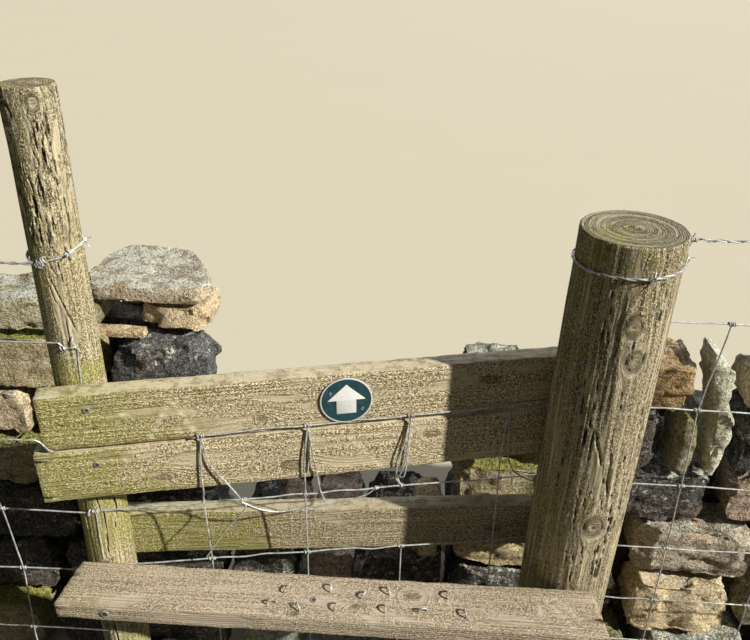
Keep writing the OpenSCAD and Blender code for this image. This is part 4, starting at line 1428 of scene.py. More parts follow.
@dataclass
class WireWork:
    """Wires of one piece: paths gathered by thickness and swept into tubes."""

    name: str
    paths: list[tuple[float, list[Vector]]] = field(default_factory=list)

    def run(self, path: Sequence[Vector], thickness: float) -> None:
        """Adds one wire."""
        self.paths.append((thickness, list(path)))

    def knot(self, at: Vector, line: Vector, wire: float) -> None:
        """Hinge joint: the stay's ends wrapped round the line wire on both sides.

        Args:
            at: Place of the crossing.
            line: Direction of the line wire.
            wire: Thickness of the wire.
        """
        line = line.normalized()
        for side in (-1, 1):
            centre = at + line * (side * wire * 1.15)
            self.run(coil(centre, line, wire * 0.95, 1.4, wire * 1.05, side * 0.8), wire * 0.92)

    def build(self) -> Piece:
        """Sweeps every path and joins the tubes.

        Returns:
            The joined piece.
        """
        tubes = []
        for thickness in sorted({t for t, _ in self.paths}):
            deselect()
            bpy.ops.curve.primitive_bezier_curve_add(location=(0, 0, 0))
            curve = bpy.context.object
            curve.data.splines.clear()
            curve.data.dimensions = "3D"
            curve.data.bevel_depth = thickness / 2
            curve.data.bevel_resolution = 1
            curve.data.use_fill_caps = True
            for width, path in self.paths:
                if width == thickness:
                    spline = curve.data.splines.new("POLY")
                    spline.points.add(len(path) - 1)
                    spline.points.foreach_set("co", [c for q in path for c in (*q, 1.0)])
            take(curve)
            bpy.ops.object.convert(target="MESH")
            tubes.append(bpy.context.object)
        piece = join(tubes, self.name)
        edit(piece)
        bpy.ops.mesh.remove_doubles(threshold=0.00001)
        deselect()
        return smooth(piece, 60)


# Strands of the cut netting over the stile. Each leaves a knot of the second wire, or none, passes places at
# the foot of the rails and then places near the highest wire that still crosses. A place gives its stay, and
# how far it lies off it along the row, into the stile and up, in millimetres.
LOOSE = (
    # Hooked round the wire and hanging far down.
    (
        ((0, 0, 0, 0),),
        ((0, 10, -4, 55), (0, 30, -6, 22), (0, 44, -5, -4)),
        (
            (0, 58, -6, 2), (0, 63, -5, -10), (0, 55, -5, -24), (0, 30, -6, -55), (0, 10, -7, -85),
            (0, -3, -8, -106),
        ),
    ),
    # Sagging from stay to stay.
    (
        (),
        (),
        (
            (0, 58, -6, 0), (0, 82, -4, -18), (1, -40, -1, -30), (1, -8, 0, -30), (1, 34, -2, -24),
            (1, 88, -1, -12), (1, 108, 0, 0),
        ),
    ),
    # Bowed out from the third knot.
    (
        ((2, 0, 0, 0),),
        ((2, -8, -5, 60), (2, -17, -4, 30), (2, -18, 0, 0)),
        ((2, -13, 0, 16), (2, -2, 0, 0)),
    ),
    # Beside it and across it.
    (((2, 0, 0, 0),), ((2, -1, -3, 50), (2, -6, -2, -2)), ((2, -10, 0, 20), (2, -6, 0, 4))),
    (((2, 1, -1, 0),), ((2, -4, -6, 40), (2, -12, -4, 4)), ((2, -13, 0, 16),)),
    # Cut off below the second knot, long and short.
    (((1, 0, 0, 0),), ((1, 8, -5, 50), (1, 14, 0, 0)), ((1, 24, -3, 8), (1, 32, -2, -20))),
    (((1, 1, 0.5, 0),), ((1, 1, 0, 50), (1, -2, 0, 20)), ()),
    # Bent aside below the last knot.
    (((3, 0, 0, 0),), ((3, 3, -4, 40), (3, 10, -4, 6)), ((3, 26, -1, 6), (3, 50, 0, -10))),
)


@dataclass
class Netting:
    """Stock netting on both sides of the stile and over it."""

    plan: Layout
    right_lift: float = 0.012
    first_bend: tuple[float, ...] = (-0.004, -0.006, -0.009, -0.009, -0.012, -0.015, -0.020, -0.005)

    def bay(
        self,
        name: str,
        starts: list[Vector],
        ends: list[Vector],
        stays: Iterable[float],
        seed: int,
        bend: Sequence[float] = (0.0,) * 8,
    ) -> WireWork:
        """Line wires, stays and knots of one bay.

        Args:
            name: Name of the piece.
            starts: Left ends of the line wires, from the lowest.
            ends: Right ends of the line wires.
            stays: Places of the stays along the row.
            seed: Number that sets the small waves.
            bend: How far the first stay's knots have slipped along each line wire.

        Returns:
            The wires.
        """
        wire = self.plan.wire
        work = WireWork(name)
        lines = [crimped(a, b, seed + i, sag=0.002) for i, (a, b) in enumerate(zip(starts, ends))]
        for path in lines:
            work.run(path, wire)
        for k, x in enumerate(stays):
            marks = [crossing(path, x if k else x + slip) for path, slip in zip(lines, bend)]
            for at, along in marks:
                work.knot(at, along, wire)
            for j, ((low, _), (high, _)) in enumerate(zip(marks, marks[1:])):
                work.run(crimped(low, high, seed * 7 + k * 11 + j, 0.016, 0.0022), wire)
        return work

    def left_bay(self) -> Piece:
        """Bay from the left stake to the left post.

        Returns:
            The netting of the bay.
        """
        plan, half = self.plan, self.plan.wire / 2
        edge, rail, top = plan.board_start, plan.top_rail_height, plan.net_top
        heights = plan.line_heights
        starts = [plan.around("left_stake", -92, z, half) for z in heights]
        ends = [plan.around("left", -140 if i == 4 else -95, z, half) for i, z in enumerate(heights)]
        bends = ((-0.026, 0.019), (-0.014, 0.018), (-0.006, 0.012), (0.001, 0.0))
        drop = [on_rail(plan, edge + x, plan.rail_wire + z, half) for x, z in bends]
        ends[6] = drop[0]
        drop += [in_gap(plan, edge + 0.004, -0.005), in_gap(plan, edge + 0.016, -0.014)]
        stays = [plan.first_stay - k * plan.stay_spacing for k in range(1, plan.bay_stays)]
        work = self.bay("left_netting.wire", starts, ends, reversed(stays), 3)
        work.run(curve_through(drop), plan.wire)
        turns = (
            (-95, top, 0), (-80, top - 0.008, 0), (-68, top - 0.006, 0.003), (-58, top - 0.006, 0.002),
            (-58, top - 0.018, 0), (-60, rail + 0.030, 0), (-62, rail + 0.002, 0),
        )
        work.run(curve_through([plan.around("left", a, z, half + out) for a, z, out in turns]), plan.wire)
        for angle, phase in ((-86, 0.0), (-64, 4.5)):
            at = plan.around("left", angle, top - 0.007, half)
            work.run(coil(at, Vector((1, 0.3, 0)), plan.wire, 2.2, 0.004, phase), plan.wire * 0.9)
        return work.build()

    def right_bay(self) -> Piece:
        """Bay from the right post to the right stake.

        Returns:
            The netting of the bay.
        """
        plan, half = self.plan, self.plan.wire / 2
        starts = [plan.around("right", 52, z + self.right_lift, half) for z in plan.line_heights]
        ends = [plan.around("right_stake", 88, z, half) for z in plan.line_heights]
        stays = [plan.first_stay + k * plan.stay_spacing for k in range(6, 5 + plan.bay_stays)]
        return self.bay("right_netting.wire", starts, ends, stays, 51, self.first_bend).build()

    def over_stile(self) -> Piece:
        """Second wire on the rails, the wires that still cross, and the cut stays.

        Returns:
            The netting between the posts.
        """
        plan, half, wire = self.plan, self.plan.wire / 2, self.plan.wire
        heights = plan.line_heights
        work = WireWork("stile_netting.wire")
        knots = [self.rail_knot(k) for k in range(4)]
        gap_start, gap_end = plan.board_start + 0.018, plan.board_start + 0.178
        path = [in_gap(plan, gap_start + (gap_end - gap_start) * t / 8, -0.014) for t in range(9)]
        path.append(in_gap(plan, gap_end + 0.010, -0.004))
        path.append(on_rail(plan, gap_end + 0.014, plan.rail_wire - 0.001, half))
        marks = [*knots, on_rail(plan, plan.post_spacing - 0.058, plan.rail_wire + 0.016, half)]
        for i in range(len(marks) - 1):
            path += crimped(marks[i], marks[i + 1], 80 + i, 0.010, 0.0011)[: None if i == 3 else -1]
        work.run(path, wire)
        for point in knots:
            work.knot(point, marks[1] - marks[0], wire)
        levels = [z + 0.004 for z in heights[:4]] + [heights[4] + 0.012, plan.crossing_wire]
        rises = (0.002, 0.002, 0.002, 0.002, 0.010, 0.018)
        starts = [plan.around("left", a, z, half) for a, z in zip((-35, -35, -35, -35, -28, -82), levels)]
        ends = [plan.around("right", 130, z + rise, half) for z, rise in zip(levels, rises)]
        lines = [crimped(a, b, 90 + i, 0.012, 0.0016) for i, (a, b) in enumerate(zip(starts, ends))]
        for line in lines:
            work.run(line, wire)
        stays = [plan.first_stay + k * plan.stay_spacing for k in range(1, 5)]

        def on_line(i: int, x: float, y: float = 0.0, z: float = 0.0) -> Vector:
            """Place on one crossing wire, or off it."""
            return crossing(lines[i], x)[0] + Vector((0, y, z))

        for k, x in enumerate(stays):
            places = [on_line(i, x) for i in range(5)]
            for i in range(4):
                work.run(crimped(places[i], places[i + 1], 120 + k * 5 + i, 0.014, 0.002), wire)
            for i, place in enumerate(places):
                work.knot(place, ends[i] - starts[i], wire)
        for strand in self.strands(knots, stays, on_line):
            work.run(curve_through(strand), wire)
        high = heights[5]
        down = [plan.around("left", -84, z, half) for z in (high - 0.045, plan.step_height + 0.006)]
        work.run(curve_through([starts[5], *down]), wire)
        turn = ((-96, 0), (-90, 0.002), (-84, 0.004))
        work.run(curve_through([plan.around("left", a, high + z, half + 0.001) for a, z in turn]), wire)
        work.run(coil(starts[5], Vector((1, 0.1, 0)), wire, 3.0, wire * 1.2), wire * 0.92)
        wraps = ((0, 60, 2.0), (0, 1, 1.5), (1, 1, 2.0), (1, 108, 2.0), (2, -3, 1.6), (3, 0, 1.6))
        for k, shift, count in wraps:
            x = stays[k] + shift / MILLIMETRE
            wrap = coil(on_line(5, x), ends[5] - starts[5], wire * 0.95, count, wire * 1.1, x * 40)
            work.run(wrap, wire * 0.92)
        return work.build()

    def strands(
        self, knots: Sequence[Vector], stays: Sequence[float], on_line: Callable[..., Vector]
    ) -> list[list[Vector]]:
        """Stays that are still whole, the cut and hooked ones, and loose ends.

        Args:
            knots: Knots of the second wire.
            stays: Places of the stays along the row.
            on_line: Gives the place on a crossing wire.

        Returns:
            Places that each strand passes.
        """
        foot = self.rail_foot
        strands = []
        for k, x, y, low in ((0, -4, -2, 1), (1, -6, -3, 1), (3, -6, -3, -2)):
            x, y, low = x / MILLIMETRE, y / MILLIMETRE, low / MILLIMETRE
            under = on_line(5, stays[k] + low)
            strands.append([knots[k], foot(k, x, y, 0.04), foot(k, x), under, on_line(4, stays[k])])
        for groups in LOOSE:
            starts, feet, lows = (
                [(k, *(c / MILLIMETRE for c in off)) for k, *off in places] for places in groups
            )
            strand = [knots[k] + Vector(off) for k, *off in starts]
            strand += [foot(*place) for place in feet]
            strands.append(strand + [on_line(5, stays[k] + x, y, z) for k, x, y, z in lows])
        curl = ((0.118, 0.0, 0.0), (0.126, -0.008, 0.006), (0.133, -0.010, -0.002))
        return strands + [[on_line(3, stays[1] + x, y, z) for x, y, z in curl]]

    def rail_knot(self, k: int) -> Vector:
        """Knot of the second wire on the rails."""
        plan = self.plan
        x = plan.board_start + plan.first_knot + plan.stay_spacing * k
        return on_rail(plan, x, plan.rail_wire + 0.003 + 0.003 * k, plan.wire / 2)

    def rail_foot(self, k: int, shift: float, y: float = 0.0, z: float = 0.0) -> Vector:
        """Place near the lower edge of the middle rail under a knot."""
        plan = self.plan
        x = plan.board_start + plan.first_knot + plan.stay_spacing * k + shift
        low = plan.middle_rail_height - plan.board_width - 0.004
        return on_rail(plan, x, low, plan.wire / 2) + Vector((0, y, z))


def in_gap(plan: Layout, x: float, out: float) -> Vector:
    """Point in the gap between the upper rails."""
    rise = x * math.sin(math.radians(plan.top_tilt))
    return on_rail(plan, x, plan.middle_rail_height + plan.rail_gap / 2 + rise, out)


def on_rail(plan: Layout, x: float, z: float, out: float) -> Vector:
    """Point on the near face of the upper rails."""
    frame = rail_frame(plan, 0.0)
    along, across = math.cos(frame.angle), math.sin(frame.angle)
    return Vector((frame.origin[0] + x * along + out * across, frame.origin[1] + x * across - out * along, z))


@dataclass
class BarbedWire:
    """Two twisted strands with four-pointed barbs."""

    plan: Layout
    strand: float = 0.0022
    twist: float = 0.038
    barb_spacing: float = 0.095
    barb_reach: float = 0.0095
    barb_wire: float = 0.0018

    def twisted(self, work: WireWork, path: Sequence[Vector], phase: float = 0.0) -> None:
        """Winds two strands round a path.

        Args:
            work: Wires that the strands are added to.
            path: Points of the middle line.
            phase: Turn in radians at which the first strand starts.
        """
        lengths = [0.0]
        for a, b in zip(path, path[1:]):
            lengths.append(lengths[-1] + (b - a).length)
        for side in (0.0, math.pi):
            strand = []
            for i, point in enumerate(path):
                ahead = path[min(i + 1, len(path) - 1)] - path[max(i - 1, 0)]
                across = ahead.cross(Vector((0, 0, 1)))
                across = across.normalized() if across.length > 1e-9 else Vector((0, 1, 0))
                up = ahead.cross(across).normalized()
                a = phase + side + 2 * math.pi * lengths[i] / self.twist
                strand.append(point + (across * math.cos(a) + up * math.sin(a)) * self.strand * 0.5)
            work.run(strand, self.strand)

    def barb(self, work: WireWork, at: Vector, along: Vector, turn: float) -> None:
        """Two short wires wrapped round the strands, with their cut points out.

        Args:
            work: Wires that they join.
            at: Place on the wire.
            along: Direction of the wire.
            turn: Angle of the first point.
        """
        along = along.normalized()
        side = along.cross(Vector((0, 0, 1))).normalized()
        up = along.cross(side)
        for k, shift in enumerate((-0.0022, 0.0022)):
            a = turn + k * math.pi / 2
            out = side * math.cos(a) + up * math.sin(a)
            centre = at + along * shift
            loop = coil(centre, along, self.strand * 1.15, 1.6, self.strand, a)
            root, tip = out * self.strand * 1.2, out * self.barb_reach + along * (0.002 if k else -0.002)
            work.run([centre - tip, centre - root, *loop, centre + root, centre + tip], self.barb_wire)

    def bay(self, name: str, start: Vector, finish: Vector, seed: int) -> Piece:
        """One stretch between two posts.

        Args:
            name: Name of the piece.
            start: Left end.
            finish: Right end.
            seed: Number that sets the waves and the barbs.

        Returns:
            The finished piece.
        """
        work = WireWork(name)
        path = crimped(start, finish, seed, 0.0042, 0.0012)
        self.twisted(work, path, seed)
        count = int((finish - start).length / self.barb_spacing)
        for i in range(1, count):
            at = path[int(len(path) * i / count)]
            self.barb(work, at, finish - start, i * 1.1 + seed)
        return work.build()

    def loop(
        self,
        work: WireWork,
        post: str,
        level: float,
        turns: Sequence[Pair],
        barbs: Sequence[float],
    ) -> None:
        """A length wound round a post.

        Args:
            work: Wires that it joins.
            post: The post.
            level: Height that the turns are measured from.
            turns: Angles and rises that the length passes.
            barbs: Angles of the barbs.
        """
        plan = self.plan
        out = self.strand * 0.95
        angles, rises = zip(*turns)
        spread = np.linspace(angles[0], angles[-1], int((angles[-1] - angles[0]) / 2.4))
        heights = np.interp(spread, angles, rises) + level
        self.twisted(work, [plan.around(post, a, z, out) for a, z in zip(spread, heights)], angles[0])
        for angle in barbs:
            along = Vector((-math.sin(math.radians(angle)), math.cos(math.radians(angle)), 0))
            z = level + float(np.interp(angle, angles, rises))
            self.barb(work, plan.around(post, angle, z, out + 0.001), along, angle)

    def ties(self) -> Piece:
        """Turns round both stile posts under the barbed wire.

        Returns:
            The joined ties.
        """
        plan = self.plan
        work = WireWork("barbed_wire_ties.wire")
        rising = ((-100, 0.001), (-72, 0.007), (-10, 0.016), (90, 0.012), (200, 0.002), (262, -0.004))
        level = ((-272, -0.006), (-150, -0.004), (-60, 0.002), (-10, 0.005), (90, -0.006))
        self.loop(work, "left", plan.barbed_height, rising, (-44, 20))
        self.loop(work, "right", plan.right_barbed_height, level, (-270, -79, -8))
        for k in range(3):
            at = plan.around("left", -101 + k * 5, plan.barbed_height + 0.003 * k, 0.004)
            work.run(coil(at, Vector((1, 0, 0.25 * k)), 0.0042, 2.3, 0.0032, k), 0.0022)
        return work.build()


@dataclass
class Fixings:
    """Nails and staples."""

    plan: Layout
    wire: float = 0.0028
    head: float = 0.0016
    shank: float = 0.03

    def staple(
        self, work: WireWork, at: Vector, out: Vector, across: Vector, spread: float, rise: float, bite: float
    ) -> None:
        """A U of wire with its crown proud of a surface.

        Args:
            work: Wires that it joins.
            at: Place on the surface.
            out: Direction out of the wood.
            across: Direction from leg to leg.
            spread: Distance between the legs.
            rise: Height of the crown over the surface.
            bite: Depth of the legs.
        """
        out, across = out.normalized(), across.normalized()
        half, bow = across * spread / 2, spread * 0.45
        path = [at - half - out * bite, at - half + out * (rise - bow)]
        for k in range(1, 8):
            a = math.pi * k / 8
            path.append(at - across * (math.cos(a) * spread / 2) + out * (rise - bow + math.sin(a) * bow))
        path += [at + half + out * (rise - bow), at + half - out * bite]
        work.run(path, self.wire)

    def post_staples(self, name: str, places: Sequence[tuple[str, float, float, float]]) -> Piece:
        """Staples over the wires on the posts: post, angle, height, turn in degrees.

        Args:
            name: Name of the piece.
            places: One row for each staple.

        Returns:
            The joined staples.
        """
        work = WireWork(name)
        for post, angle, z, turn in places:
            a, b = math.radians(angle), math.radians(turn)
            out = Vector((math.cos(a), math.sin(a), 0))
            side = Vector((-math.sin(a), math.cos(a), 0))
            across = Vector((0, 0, math.cos(b))) + side * math.sin(b)
            self.staple(work, self.plan.around(post, angle, z), out, across, 0.012, 0.0050, 0.018)
        return work.build()

    def grip(self) -> Piece:
        """Staples left half driven in the step so that boots grip.

        Returns:
            The joined staples.
        """
        work = WireWork("grip_staples.wire")
        frame = step_frame(self.plan).matrix
        places = (
            (293, -35, 70), (359, -28, 95), (276, -62, 20), (316, -67, 120), (370, -62, 80), (410, -37, 60),
            (447, -27, 110), (444, -60, 85), (498, -60, 15), (536, -27, 75), (560, -60, 100),
        )
        for x, y, turn in places:
            at = frame @ Vector((x / MILLIMETRE, y / MILLIMETRE, -0.0006))
            a = math.radians(turn)
            lean = Vector((math.cos(turn * 7) * 0.25, math.sin(turn * 5) * 0.25, 1))
            self.staple(work, at, lean, Vector((math.cos(a), math.sin(a), 0)), 0.013, 0.0082, 0.014)
        return work.build()

    def heads(self, name: str, places: Sequence[tuple[Vector, Vector, float]]) -> Piece:
        """Nails with domed, hammered heads: place, direction out of the wood, head diameter.

        Args:
            name: Name of the piece.
            places: One row for each nail.

        Returns:
            The joined nails.
        """
        nails = []
        for i, (at, out, size) in enumerate(places):
            deselect()
            bpy.ops.mesh.primitive_cylinder_add(
                vertices=20, radius=size / 2, depth=self.head, location=(0, 0, self.head / 4)
            )
            nail = bpy.context.object
            settle(nail)
            edit(nail)
            pick(nail, "FACE", lambda f: f.normal.z > 0.9)
            bpy.ops.mesh.inset(thickness=size * 0.12, depth=0.0003)
            bpy.ops.mesh.inset(thickness=size * 0.14, depth=-0.0005)
            pick(nail, "FACE", lambda f: f.normal.z < -0.9)
            bpy.ops.mesh.inset(thickness=size * 0.26)
            bpy.ops.mesh.extrude_region_move(TRANSFORM_OT_translate={"value": (0, 0, -self.shank)})
            bpy.ops.mesh.select_all(action="SELECT")
            bpy.ops.mesh.bevel(offset=0.00018, segments=2, affect="EDGES", clamp_overlap=True)
            deselect()
            p = points_of(nail)
            store(nail, "hollow", (np.hypot(p[:, 0], p[:, 1]) < size * 0.26).astype(float))
            p += np.column_stack([noise(p * 900 + i * 5, i + k) for k in range(3)]) * 0.00014
            move_points(nail, p)
            tip = Vector(out).normalized() + Vector((math.sin(i * 3.1), math.cos(i * 2.3), 0)) * 0.10
            nail.matrix_world = Matrix.Translation(at) @ tip.to_track_quat("Z", "Y").to_matrix().to_4x4()
            settle(nail)
            nails.append(nail)
        return smooth(join(nails, name), 35)


@dataclass
class Waymark:
    """Round plate with a raised rim, a broad arrow and two pins.

    The arrow's sizes are shares of its reach, which is a share of the disc's diameter.
    """

    plan: Layout
    diameter: float = 0.075
    thickness: float = 0.0025
    place: float = 0.409
    sides: int = 96
    reach: float = 0.36
    shaft_width: float = 1.04
    shaft_length: float = 0.83
    shaft_middle: float = 0.365
    shaft_to_head: float = 0.52
    head_length: float = 0.95

    @property
    def matrix(self) -> Matrix:
        """Frame on the rail with z out of its face.

        Returns:
            The matrix.
        """
        plan = self.plan
        return (
            rail_frame(plan, plan.top_rail_height).matrix
            @ Matrix.Translation((plan.board_start + self.place, 0, -plan.board_width / 2))
            @ Matrix.Rotation(math.pi / 2, 4, "X")
        )

    def plate(self) -> Piece:
        """Disc, pressed with a rim and a shallow field.

        Returns:
            The disc.
        """
        thick = self.thickness
        deselect()
        bpy.ops.mesh.primitive_cylinder_add(
            vertices=self.sides, radius=self.diameter / 2, depth=thick, location=(0, 0, thick / 2)
        )
        piece = bpy.context.object
        settle(piece)
        edit(piece)
        pick(piece, "EDGE", lambda e: all(v.co.z > thick * 0.9 for v in e.verts))
        bpy.ops.mesh.bevel(offset=0.0007, segments=3, affect="EDGES")
        pick(piece, "FACE", lambda f: len(f.verts) == self.sides and f.normal.z > 0.9)
        bpy.ops.mesh.inset(thickness=0.0012)
        bpy.ops.mesh.inset(thickness=0.0004, depth=-0.0005)
        for _ in range(6):
            bpy.ops.mesh.inset(thickness=0.0045)
        bpy.ops.mesh.poke()
        deselect()
        p = points_of(piece)
        far = np.hypot(p[:, 0], p[:, 1])
        p[:, 2] += rough(p * 40 + 3, 7, 2) * 0.0002 * (far < self.diameter * 0.44)
        store(piece, "rim", ((far > self.diameter / 2 - 0.0022) & (p[:, 2] > thick * 0.55)).astype(float))
        move_points(piece, p)
        return self.fix(piece, "waymark_disc.plate")

    def arrow(self) -> Piece:
        """Arrow moulded on the plate.

        Returns:
            The arrow.
        """
        reach = self.diameter * self.reach
        deselect()
        bpy.ops.mesh.primitive_plane_add(size=1, location=(0, 0, 0))
        piece = bpy.context.object
        piece.scale = (reach * self.shaft_width, reach * self.shaft_length, 1)
        piece.location = (0, -reach * self.shaft_middle, self.thickness - 0.0004)
        settle(piece)
        edit(piece)
        top_edge = max(v.co.y for v in bmesh.from_edit_mesh(piece.data).verts)
        pick(piece, "EDGE", lambda e: all(v.co.y > top_edge - 1e-6 for v in e.verts))
        bpy.ops.mesh.extrude_region_move(TRANSFORM_OT_translate={"value": (0, 0, 0)})
        bpy.ops.transform.resize(value=(1 / self.shaft_to_head, 1, 1), center_override=(0, top_edge, 0))
        bpy.ops.mesh.extrude_region_move(TRANSFORM_OT_translate={"value": (0, reach * self.head_length, 0)})
        bpy.ops.transform.resize(value=(0.001, 1, 1), center_override=(0, top_edge, 0))
        bpy.ops.mesh.select_all(action="SELECT")
        bpy.ops.mesh.remove_doubles(threshold=0.0001)
        bpy.ops.mesh.dissolve_limited(angle_limit=0.01)
        bpy.ops.mesh.select_all(action="SELECT")
        bpy.ops.mesh.extrude_region_move(TRANSFORM_OT_translate={"value": (0, 0, 0.0009)})
        bpy.ops.mesh.select_all(action="SELECT")
        bpy.ops.mesh.normals_make_consistent(inside=False)
        pick(piece, "EDGE", lambda e: all(v.co.z > self.thickness for v in e.verts))
        bpy.ops.mesh.bevel(offset=0.0003, segments=2, affect="EDGES")
        deselect()
        return self.fix(piece, "waymark_arrow.print")

    def fix(self, piece: Piece, name: str) -> Piece:
        """Puts a finished piece on the rail."""
        piece.matrix_world = self.matrix
        settle(piece)
        piece.name = name
        return smooth(piece, 30)


class Rock(Enum):
    """Kinds of stone, each with its colour and its share of lichen, moss and damp."""

    GREY = ((0.33, 0.32, 0.27), 0.45, 0.10, 0.0)
    TAN = ((0.70, 0.58, 0.36), 0.30, 0.08, 0.0)
    BUFF = ((0.57, 0.49, 0.34), 0.40, 0.08, 0.0)
    PINK = ((0.48, 0.37, 0.28), 0.25, 0.05, 0.0)
    ORANGE = ((0.41, 0.28, 0.13), 0.30, 0.10, 0.0)
    OCHRE = ((0.62, 0.49, 0.28), 0.18, 0.06, 0.0)
    SLATE = ((0.085, 0.088, 0.088), 0.10, 0.0, 0.0)
    DARK = ((0.085, 0.078, 0.068), 0.30, 0.12, 0.15)
    PALE = ((0.52, 0.44, 0.29), 0.58, 0.14, 0.0)
    LIGHT = ((0.78, 0.74, 0.61), 0.50, 0.05, 0.0)
    MOSSY = ((0.42, 0.37, 0.20), 0.25, 0.62, 0.0)
    OLIVE = ((0.30, 0.28, 0.17), 0.35, 0.40, 0.1)


BASE = (Rock.DARK, Rock.GREY, Rock.MOSSY, Rock.OLIVE)
WALLING = (Rock.GREY, Rock.TAN, Rock.BUFF, Rock.DARK, Rock.OLIVE, Rock.PINK, Rock.SLATE)
COPING = (Rock.PALE, Rock.BUFF, Rock.GREY, Rock.PALE, Rock.TAN)


@dataclass
class StoneGroup:
    """Stones of one node: knocked into shape one by one, then worn together.

    The picks name the kind of the stone nearest to a place along the row and a height; the others
    are drawn from the mix.
    """

    node: str
    slot: Slot
    seed: int
    grid: float
    mix: tuple[Rock, ...]
    picks: tuple[tuple[float, float, Rock], ...] = ()
    chips: int = 6
    wear_depth: float = 0.015

    def build(self, node: Piece) -> Piece:
        """Splits the node into stones, chips, remeshes and wears them.

        Args:
            node: The CAD node that the stones stand for.

        Returns:
            The finished piece.
        """
        block = copy_of(node, self.node + ".stones")
        edit(block)
        bpy.ops.mesh.separate(type="LOOSE")
        deselect()
        stones = [o for o in bpy.context.scene.objects if o.name.startswith(self.node + ".stones")]
        stones.sort(key=lambda o: tuple(round(c, 4) for c in np.mean(points_of(o), axis=0)))
        chance = np.random.default_rng(self.seed)
        kinds = self.choose(stones, chance)
        for stone, kind in zip(stones, kinds):
            middle, half = box_of(stone)
            self.knock(stone, middle, half, chance)
            self.remesh(stone)
            count = len(stone.data.vertices)
            colour, *growth = kind.value
            tone = np.array(colour) * chance.uniform(0.88, 1.12) * chance.uniform(0.95, 1.05, 3)
            store(stone, "rock", np.tile(unit(tone), (count, 1)))
            store(stone, "growth", np.tile(growth, (count, 1)))
            store(stone, "bulk", np.full(count, half.min()))
        piece = join(stones, self.node + ".stones")
        self.wear(piece)
        return smooth(piece, 35)

    def choose(self, stones: Sequence[Piece], chance: np.random.Generator) -> list[Rock]:
        """Kind of each stone: by chance, or as the picks say.

        Args:
            stones: The stones in their order.
            chance: Source of the random draws.

        Returns:
            One kind for each stone.
        """
        kinds = [self.mix[int(chance.integers(len(self.mix)))] for _ in stones]
        centres = [Vector(box_of(stone)[0]) for stone in stones]
        for x, z, rock in self.picks:
            nearest = min(range(len(stones)), key=lambda k: math.hypot(centres[k].x - x, centres[k].z - z))
            kinds[nearest] = rock
        return kinds

    def knock(
        self, stone: Piece, middle: Array, half: Array, chance: np.random.Generator
    ) -> None:
        """Cuts corners off a stone with planes, as a hammer does.

        Args:
            stone: The stone.
            middle: Middle of its box.
            half: Half size of its box.
            chance: Source of the random draws.
        """
        edit(stone)
        for _ in range(self.chips):
            corner = np.where(chance.random(3) < 0.5, -1.0, 1.0)
            slant = corner * chance.uniform(0.35, 1.0, 3) * np.array([1.0, 1.0, 0.75])
            slant /= np.linalg.norm(slant)
            at = middle + slant * (np.abs(half * slant).sum() - half.min() * chance.uniform(0.20, 0.60))
            bpy.ops.mesh.select_all(action="SELECT")
            bpy.ops.mesh.bisect(plane_co=tuple(at), plane_no=tuple(slant), use_fill=True, clear_outer=True)
        deselect()

    def remesh(self, stone: Piece) -> None:
        """Rounds the arrises and gives the stone an even mesh.

        Args:
            stone: The stone.
        """
        bevel = stone.modifiers.new("arris", "BEVEL")
        bevel.width = 0.003
        bevel.segments = 1
        bevel.limit_method = "ANGLE"
        bevel.angle_limit = math.radians(25)
        even_mesh(stone, self.grid)

    def wear(self, piece: Piece) -> None:
        """Breaks the faces into flats and hollows, always inwards, spreads the growth, and paints shade
        underneath and in deep hollows.

        Args:
            piece: The stones, joined, with the bulk and growth of each.
        """
        p, n = points_of(piece), normals_of(piece)
        bulk = np.empty(len(p), np.float32)
        piece.data.attributes["bulk"].data.foreach_get("value", bulk)
        depth = self.wear_depth * np.clip(bulk / 0.045, 0.30, 1.0)
        broad = rough(p * 8.0, self.seed, 3)
        flats = facets(p * np.array([14.0, 14.0, 18.0]) + broad[:, None] * 0.25, self.seed + 3)
        flakes = facets(p * np.array([38.0, 38.0, 52.0]) + broad[:, None] * 0.5, self.seed + 23)
        small = rough(p * 60.0, self.seed + 6, 2)
        seams = np.abs(np.sin((p[:, 2] + broad * 0.012) * 2 * np.pi / 0.037))
        flats, flakes = np.clip(0.45 - flats, 0, 1.2), np.clip(0.5 - flakes, 0, 1.2)
        cut = 0.30 - 0.35 * broad + 0.80 * flats + 0.34 * flakes
        cut += 0.12 * small + 0.25 * unit(0.30 - seams)
        p -= n * (np.clip(cut, 0, 1.8) * depth * 0.75)[:, None]
        p[:, 2] = np.maximum(p[:, 2], 0.0)
        move_points(piece, p)
        piece.data.attributes.remove(piece.data.attributes["bulk"])
        n = normals_of(piece)
        growth = piece.data.attributes["growth"]
        colours = np.empty(len(p) * 4, np.float32)
        growth.data.foreach_get("color", colours)
        colours = colours.reshape(-1, 4)
        up = unit(n[:, 2])
        colours[:, 0] *= 0.40 + 0.80 * up
        colours[:, 1] *= 0.35 + 0.95 * up
        # Painted shade in the third channel: more on faces turned down and in the deepest hollows.
        colours[:, 2] += unit(-n[:, 2]) * 0.25 + unit(cut - 1.1) * 0.5
        growth.data.foreach_set("color", unit(colours).ravel())


